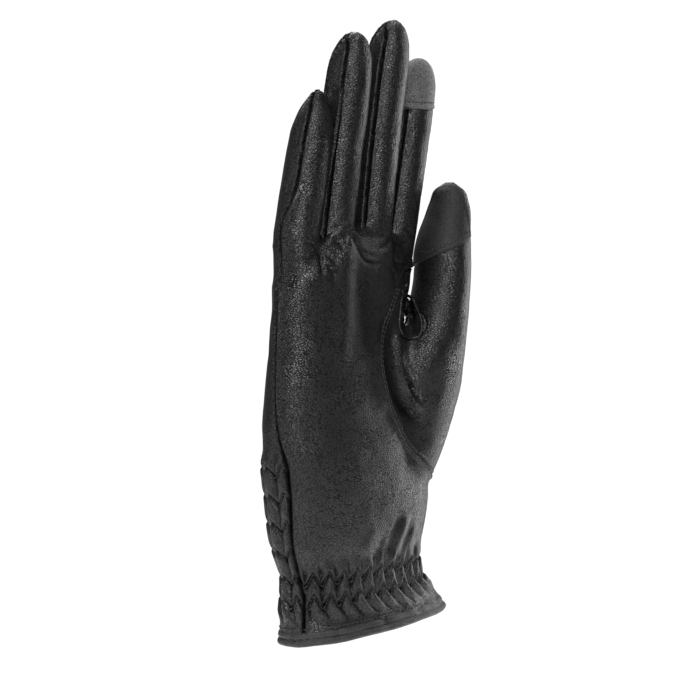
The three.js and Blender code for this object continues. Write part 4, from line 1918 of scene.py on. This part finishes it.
@dataclass
class CuffBinding:
    """A folded strip of leather round the mouth, rolled in two bands and stitched above them."""

    form: HandForm
    gathers: Gathers
    squareness: float = 2.3
    steps: int = 300
    outside: tuple[tuple[float, float], ...] = (
        (-0.9, 4.35), (-0.2, 4.3), (0.15, 3.9), (0.3, 3.1), (0.28, 2.3), (-0.1, 1.75), (0.3, 1.35),
        (0.6, 0.7), (0.62, -0.1), (0.3, -0.75), (-0.4, -1.05), (-1.3, -0.95), (-2.1, -0.3), (-2.45, 0.7),
        (-2.5, 2.2), (-2.3, 3.6), (-1.7, 4.2),
    )

    def build(self) -> bpy.types.Object:
        """Returns the binding as one closed ring.

        Returns:
            The binding.
        """
        profile = flow(np.array(self.outside + self.outside[:1], dtype=float), 49)[:-1]
        loop = round_loop(self.steps, self.squareness)
        angle = np.arange(self.steps) * 2 * math.pi / self.steps
        rings = []
        for out, up in profile:
            share = np.array([max(up, -1.0) / self.form.sizes.palm_length])
            x, width, depth = self.form.section(share)
            ripple = 0.16 * np.sin(angle * 31) + 0.1 * np.sin(angle * 17 + 1)
            grow = out + ripple * (0.3 + 0.7 * (up > 2))
            px = x[0] + loop[:, 0] * (width[0] + grow)
            py = loop[:, 1] * (depth[0] + grow)
            pz = up + self.form.sizes.mouth_tilt * px + 0.12 * np.sin(angle * 9)
            rings.append(np.stack([px, py, pz], axis=1))
        obj = make_object("cuff_binding_leather", np.concatenate(rings), ring_faces(len(rings), self.steps))
        outward_and_smooth(obj)
        finish_piece(obj, material_of(BINDING), ("cuff_binding",))
        return obj


def laid_from_view(surface: BVHTree, plane: SketchPlane, points: Array) -> tuple[Array, Array]:
    """Lays points of the sketch plane on the leather.

    Args:
        surface: The leather.
        plane: The sketch plane.
        points: Places in it.

    Returns:
        The places on the leather, and the viewer's own place.
    """
    a, far = plane.azimuth, plane.distance
    eye = np.array([math.sin(a) * far, -math.cos(a) * far, plane.level])
    out = []
    for u, w in points:
        aim = np.array([u * math.cos(a), u * math.sin(a), w])
        hit = surface.ray_cast(Vector(eye), Vector(aim - eye).normalized())
        out.append((hit[0] or surface.find_nearest(Vector(aim))[0])[:])
    return np.array(out), eye


@dataclass
class CrotchWelt:
    """The rolled edge round the opening of the thumb's crotch."""

    shell: LeatherShell
    plane: SketchPlane = SketchPlane()
    radius: float = 0.62
    sunk: float = 0.15
    steps: int = 90
    sides: int = 12

    def path(self) -> Array:
        """Returns the roll's middle line, laid on the leather where the viewer sees it.

        Returns:
            The line's points, one a row.
        """
        ring = flow(np.array(WELT + WELT[:1], dtype=float), self.steps + 1)[:-1]
        line, eye = laid_from_view(self.shell.surface, self.plane, ring)
        for _ in range(4):
            line = (np.roll(line, 1, axis=0) + 2 * line + np.roll(line, -1, axis=0)) / 4
        toward = (eye - line) / np.linalg.norm(eye - line, axis=1, keepdims=True)
        return line + toward * (self.radius - self.sunk)

    def build(self) -> bpy.types.Object:
        """Returns the roll as one closed tube.

        Returns:
            The roll.
        """
        line = self.path()
        along = np.roll(line, -1, axis=0) - np.roll(line, 1, axis=0)
        along /= np.linalg.norm(along, axis=1, keepdims=True)
        view = np.array([math.sin(self.plane.azimuth), -math.cos(self.plane.azimuth), 0.0])
        side = np.cross(along, view)
        side /= np.linalg.norm(side, axis=1, keepdims=True)
        up = np.cross(side, along)
        turn = np.arange(self.sides) * 2 * math.pi / self.sides
        ring = np.cos(turn)[None, :, None] * side[:, None] + np.sin(turn)[None, :, None] * up[:, None]
        puff = 1 + 0.1 * np.sin(np.arange(self.steps) * 0.9)[:, None, None]
        points = (line[:, None] + ring * self.radius * puff).reshape(-1, 3)
        obj = make_object("crotch_welt", points, ring_faces(self.steps, self.sides))
        outward_and_smooth(obj)
        finish_piece(obj, material_of(GRAINED))
        return obj


@dataclass
class Thread:
    """Sewing thread: rows of single stitches laid on the leather."""

    shell: LeatherShell
    thickness: float = 0.42
    top_of_rows: float = 128.5
    sunk: float = 0.02
    pitch: float = 1.9
    fine_pitch: float = 1.25
    hem_row: float = 5.0
    above_index_hem: float = 2.7
    beside_seam: tuple[float, float] = (-1.0, 1.05)
    clear_of_side: float = 0.6
    gathers_clear: float = 0.8
    arch: float = -0.35
    flatness: float = 0.8
    shortest: float = 0.2
    longest: float = 6.0

    def stitch(self) -> tuple[Array, list]:
        """Models one stitch, one unit long, and returns its points and faces.

        Returns:
            The points, and the faces as lists of point numbers.
        """
        bpy.ops.object.select_all(action="DESELECT")
        bpy.ops.mesh.primitive_uv_sphere_add(segments=6, ring_count=5, radius=0.5)
        obj = bpy.context.active_object
        points = np.array([v.co[:] for v in obj.data.vertices])
        faces = [list(p.vertices) for p in obj.data.polygons]
        bpy.data.objects.remove(obj)
        return points[:, [2, 0, 1]], faces

    def on_leather(self, points: Array) -> tuple[Array, Array]:
        """Returns the nearest places on the leather and the normals there."""
        hits = [self.shell.surface.find_nearest(Vector(p)) for p in points]
        return np.array([h[0][:] for h in hits]), np.array([h[1][:] for h in hits])

    def sew(self, name: str, rows: Sequence[Array], share: float = 0.8) -> bpy.types.Object:
        """Sews rows of stitches.

        Args:
            name: The piece's name.
            rows: For each row, the points where the needle goes through.
            share: How much of each step its stitch fills.

        Returns:
            The piece.
        """
        shape, shape_faces = self.stitch()
        points, faces = [], []
        for row in rows:
            spot, normal = self.on_leather(row)
            for a, b, na, nb in zip(spot[:-1], spot[1:], normal[:-1], normal[1:]):
                along = b - a
                size = float(np.linalg.norm(along))
                if size < self.shortest or size > self.longest:
                    continue
                up = (na + nb) / 2
                along /= size
                side = np.cross(up, along)
                side /= max(float(np.linalg.norm(side)), 1e-6)
                up = np.cross(along, side)
                middle = (a + b) / 2 + up * (self.thickness / 2 - self.sunk)
                local = shape * np.array([size * share, self.thickness, self.thickness * self.flatness])
                arch = self.arch * self.thickness * (2 * shape[:, 0]) ** 2
                lift = local[:, 2:] + arch[:, None]
                place = middle + local[:, :1] * along + local[:, 1:2] * side + lift * up
                faces += [[n + len(points) * len(shape) for n in f] for f in shape_faces]
                points.append(place)
        obj = make_object(name, np.concatenate(points), faces)
        choose(obj)
        bpy.ops.object.shade_smooth()
        finish_piece(obj, material_of(ThreadFinish()))
        return obj

    def cast(self, flat: Array, from_front: bool) -> Array:
        """Returns where points given in X and Z meet the palm or, from behind, the back.

        Args:
            flat: The points.
            from_front: True for the palm.

        Returns:
            The places that were met.
        """
        out = []
        for x, z in flat:
            y = -80.0 if from_front else 80.0
            hit = self.shell.surface.ray_cast(Vector((x, y, z)), Vector((0, -math.copysign(1, y), 0)))
            if hit[0] is not None:
                out.append(hit[0][:])
        return np.array(out)

    def thumb_rows(self) -> list[Array]:
        """Returns the two rows beside the seam round the ball of the thumb, in front and behind.

        Returns:
            The rows, one array each.
        """
        rows = []
        for curve, front in ((self.shell.pattern.palm_curve, True), (self.shell.pattern.back_curve, False)):
            along = np.gradient(curve, axis=0)
            along /= np.linalg.norm(along, axis=1, keepdims=True)
            right = np.stack([along[:, 1], -along[:, 0]], axis=1)
            for off in self.beside_seam:
                line = self.cast(curve + right * off, front)
                side = self.shell.pattern.side_field(line)
                shown = side < -self.clear_of_side if front else side > self.clear_of_side
                keep = shown & (line[:, 2] < self.top_of_rows)
                line = line[keep]
                if len(line) > 4:
                    rows.append(even(line, self.pitch))
        return rows

    def hem_rows(self) -> list[Array]:
        """Returns the row above the binding."""
        return [even(self.round_wrist(lambda tooth: np.full(len(tooth), self.hem_row), 400), self.pitch)]

    def round_wrist(self, height: Callable[[Array], Array], count: int) -> Array:
        """Returns points round the wrist on the unraised hand, at heights given for each gather.

        Args:
            height: Gives the height for a count of gathers.
            count: How many points.

        Returns:
            The points, one a row.
        """
        form, gathers = self.shell.form, self.shell.relief.gathers
        flat, teeth = gathers.table(form)
        tooth = np.linspace(0.001, gathers.count - 0.001, count)
        angle = np.interp(tooth, teeth, flat)
        up = height(tooth)
        x, width, depth = form.section(up / form.sizes.palm_length)
        c, s = np.cos(angle), np.sin(angle)
        n = gathers.squareness
        r = (np.abs(c) ** n + np.abs(s) ** n) ** (-1 / n)
        px, py = x + r * c * width, r * s * depth
        return np.stack([px, py, form.height(up / form.sizes.palm_length, px)], axis=1)

    def gather_rows(self) -> list[Array]:
        """Returns the zigzag rows that draw in the wrist.

        Returns:
            The rows, one array each.
        """
        gathers, rows = self.shell.relief.gathers, []
        for height in gathers.back_rows:
            count = gathers.count * 8 + 1
            line = self.round_wrist(lambda tooth: height + gathers.swing * gathers.zigzag(tooth), count)
            side = self.shell.pattern.side_field(line)
            clear = self.gathers_clear
            shown = (side > clear) | ((side < -clear) & (height in gathers.palm_rows))
            for part in runs(shown):
                if len(part) > 4:
                    rows.append(line[part])
        return rows

    def tip_rows(self) -> list[Array]:
        """Returns the rows above the hems of the two smooth tips.

        Returns:
            The index tip's row and the thumb tip's.
        """
        form = self.shell.form
        angle = np.linspace(0, 2 * math.pi, 80)
        z = np.full(80, form.index_hem_height() + self.above_index_hem)
        x, y = form.finger_line(INDEX, z)
        r = form.finger_radius(INDEX, z)
        px, py = x + r * np.cos(angle), y + r * np.sin(angle)
        index = np.stack([px, py, z + 0.06 * (px - x) + 0.1 * (py - y)], axis=1)
        thumb, _ = laid_from_view(self.shell.surface, SketchPlane(), flow(np.array(THUMB_TIP_ROW), 60))
        return [even(index, self.fine_pitch), even(thumb, self.fine_pitch)]


def even(line: Array, pitch: float) -> Array:
    """Returns points an even step apart along a line.

    Args:
        line: The line's points.
        pitch: The step.

    Returns:
        The new points.
    """
    reach = np.concatenate([[0], np.cumsum(np.linalg.norm(np.diff(line, axis=0), axis=1))])
    at = np.linspace(0, reach[-1], max(2, int(reach[-1] / pitch)))
    return np.stack([np.interp(at, reach, line[:, n]) for n in range(3)], axis=1)


def runs(flags: Array) -> list[Array]:
    """Returns the runs of true values as arrays of places."""
    edges = np.flatnonzero(np.diff(np.concatenate([[0], flags.astype(int), [0]])))
    return [np.arange(a, b) for a, b in zip(edges[::2], edges[1::2])]


# stage


GLOVE_MIDDLE = 0.11


@dataclass(frozen=True)
class Lamp:
    """A soft light, placed round the glove as the viewer sees it."""

    name: str
    turn: float
    rise: float
    distance: float
    width: float
    height: float
    power: float

    def build(self, azimuth: float) -> None:
        """Adds the light, facing the middle of the glove.

        Args:
            azimuth: Where the viewer stands round the glove.
        """
        data = bpy.data.lights.new(self.name, "AREA")
        data.shape = "RECTANGLE"
        data.size, data.size_y, data.energy = self.width, self.height, self.power
        lamp = bpy.data.objects.new(self.name, data)
        turn, rise = azimuth + math.radians(self.turn), math.radians(self.rise)
        way = Vector((math.sin(turn) * math.cos(rise), -math.cos(turn) * math.cos(rise), math.sin(rise)))
        lamp.location = Vector((0, 0, GLOVE_MIDDLE)) + way * self.distance
        lamp.rotation_euler = way.to_track_quat("Z", "Y").to_euler()
        bpy.context.scene.collection.objects.link(lamp)


@dataclass
class Studio:
    """A white floor and surround, soft lights and the camera."""

    plane: SketchPlane = SketchPlane()
    lens: float = 134.3
    across: float = -0.00498
    level: float = 0.1043
    floor: float = -0.09
    floor_radius: float = 0.42
    surround: float = 0.21
    lamps: tuple[Lamp, ...] = (
        Lamp("high_front", 14, 46, 1.0, 0.5, 0.3, 9.0),
        Lamp("broad_front", 4, 14, 1.15, 0.2, 0.9, 2.6),
        Lamp("rim_right", 132, 8, 0.8, 0.12, 0.9, 3.6),
        Lamp("strip_left", -62, 14, 1.0, 0.14, 0.9, 3.0),
        Lamp("rear_soft", 190, 48, 1.1, 0.6, 0.5, 6.0),
    )

    def build(self) -> None:
        """Makes the stage."""
        self.camera()
        self.world()
        self.ground()
        for lamp in self.lamps:
            lamp.build(self.plane.azimuth)
        bpy.context.scene.view_settings.view_transform = "Standard"

    def camera(self) -> None:
        """Adds the camera at the photograph's angle."""
        data = bpy.data.cameras.new("camera")
        data.lens, data.sensor_width = self.lens, 36.0
        data.clip_start, data.clip_end = 0.05, 60
        camera = bpy.data.objects.new("camera", data)
        c, s = math.cos(self.plane.azimuth), math.sin(self.plane.azimuth)
        away = self.plane.distance * MM
        camera.location = (self.across * c + away * s, self.across * s - away * c, self.level)
        camera.rotation_euler = (math.pi / 2, 0, self.plane.azimuth)
        bpy.context.scene.collection.objects.link(camera)
        bpy.context.scene.camera = camera

    def world(self) -> None:
        """Makes the surround: white where it is looked at, softer as a light."""
        world = bpy.data.worlds.new("surround")
        world.use_nodes = True
        nodes, links = world.node_tree.nodes, world.node_tree.links
        seen = nodes["Background"]
        seen.inputs["Color"].default_value = (1, 1, 1, 1)
        seen.inputs["Strength"].default_value = 1.05
        light = nodes.new("ShaderNodeBackground")
        light.inputs["Color"].default_value = (1, 1, 1, 1)
        light.inputs["Strength"].default_value = self.surround
        path = nodes.new("ShaderNodeLightPath")
        mix = nodes.new("ShaderNodeMixShader")
        links.new(path.outputs["Is Camera Ray"], mix.inputs[0])
        links.new(light.outputs[0], mix.inputs[1])
        links.new(seen.outputs[0], mix.inputs[2])
        links.new(mix.outputs[0], nodes["World Output"].inputs["Surface"])
        bpy.context.scene.world = world

    def ground(self) -> None:
        """Adds the pale floor under the glove."""
        bpy.ops.object.select_all(action="DESELECT")
        where = (0, 0, self.floor)
        bpy.ops.mesh.primitive_circle_add(
            vertices=96, radius=self.floor_radius, fill_type="NGON", location=where
        )
        floor = bpy.context.active_object
        floor.name = "floor"
        bpy.ops.object.transform_apply(location=True, rotation=True, scale=True)
        floor.data.materials.append(FloorFinish().build())


def main() -> None:
    """Builds the glove piece by piece, then the stage."""
    logging.basicConfig(level=logging.INFO, format="%(message)s")
    form = HandForm()
    pattern = Pattern(form, FingerSpread(form))
    relief = Relief(form, pattern)
    shell = LeatherShell(form, pattern, relief)
    Studio().build()
    shell.build()
    CuffBinding(form, relief.gathers).build()
    CrotchWelt(shell).build()
    thread = Thread(shell)
    thread.sew("thumb_seam_stitches", thread.thumb_rows())
    thread.sew("hem_stitches", thread.hem_rows())
    thread.sew("gather_stitches", thread.gather_rows(), 0.9)
    thread.sew("tip_stitches", thread.tip_rows(), 0.7)


if __name__ == "__main__":
    main()
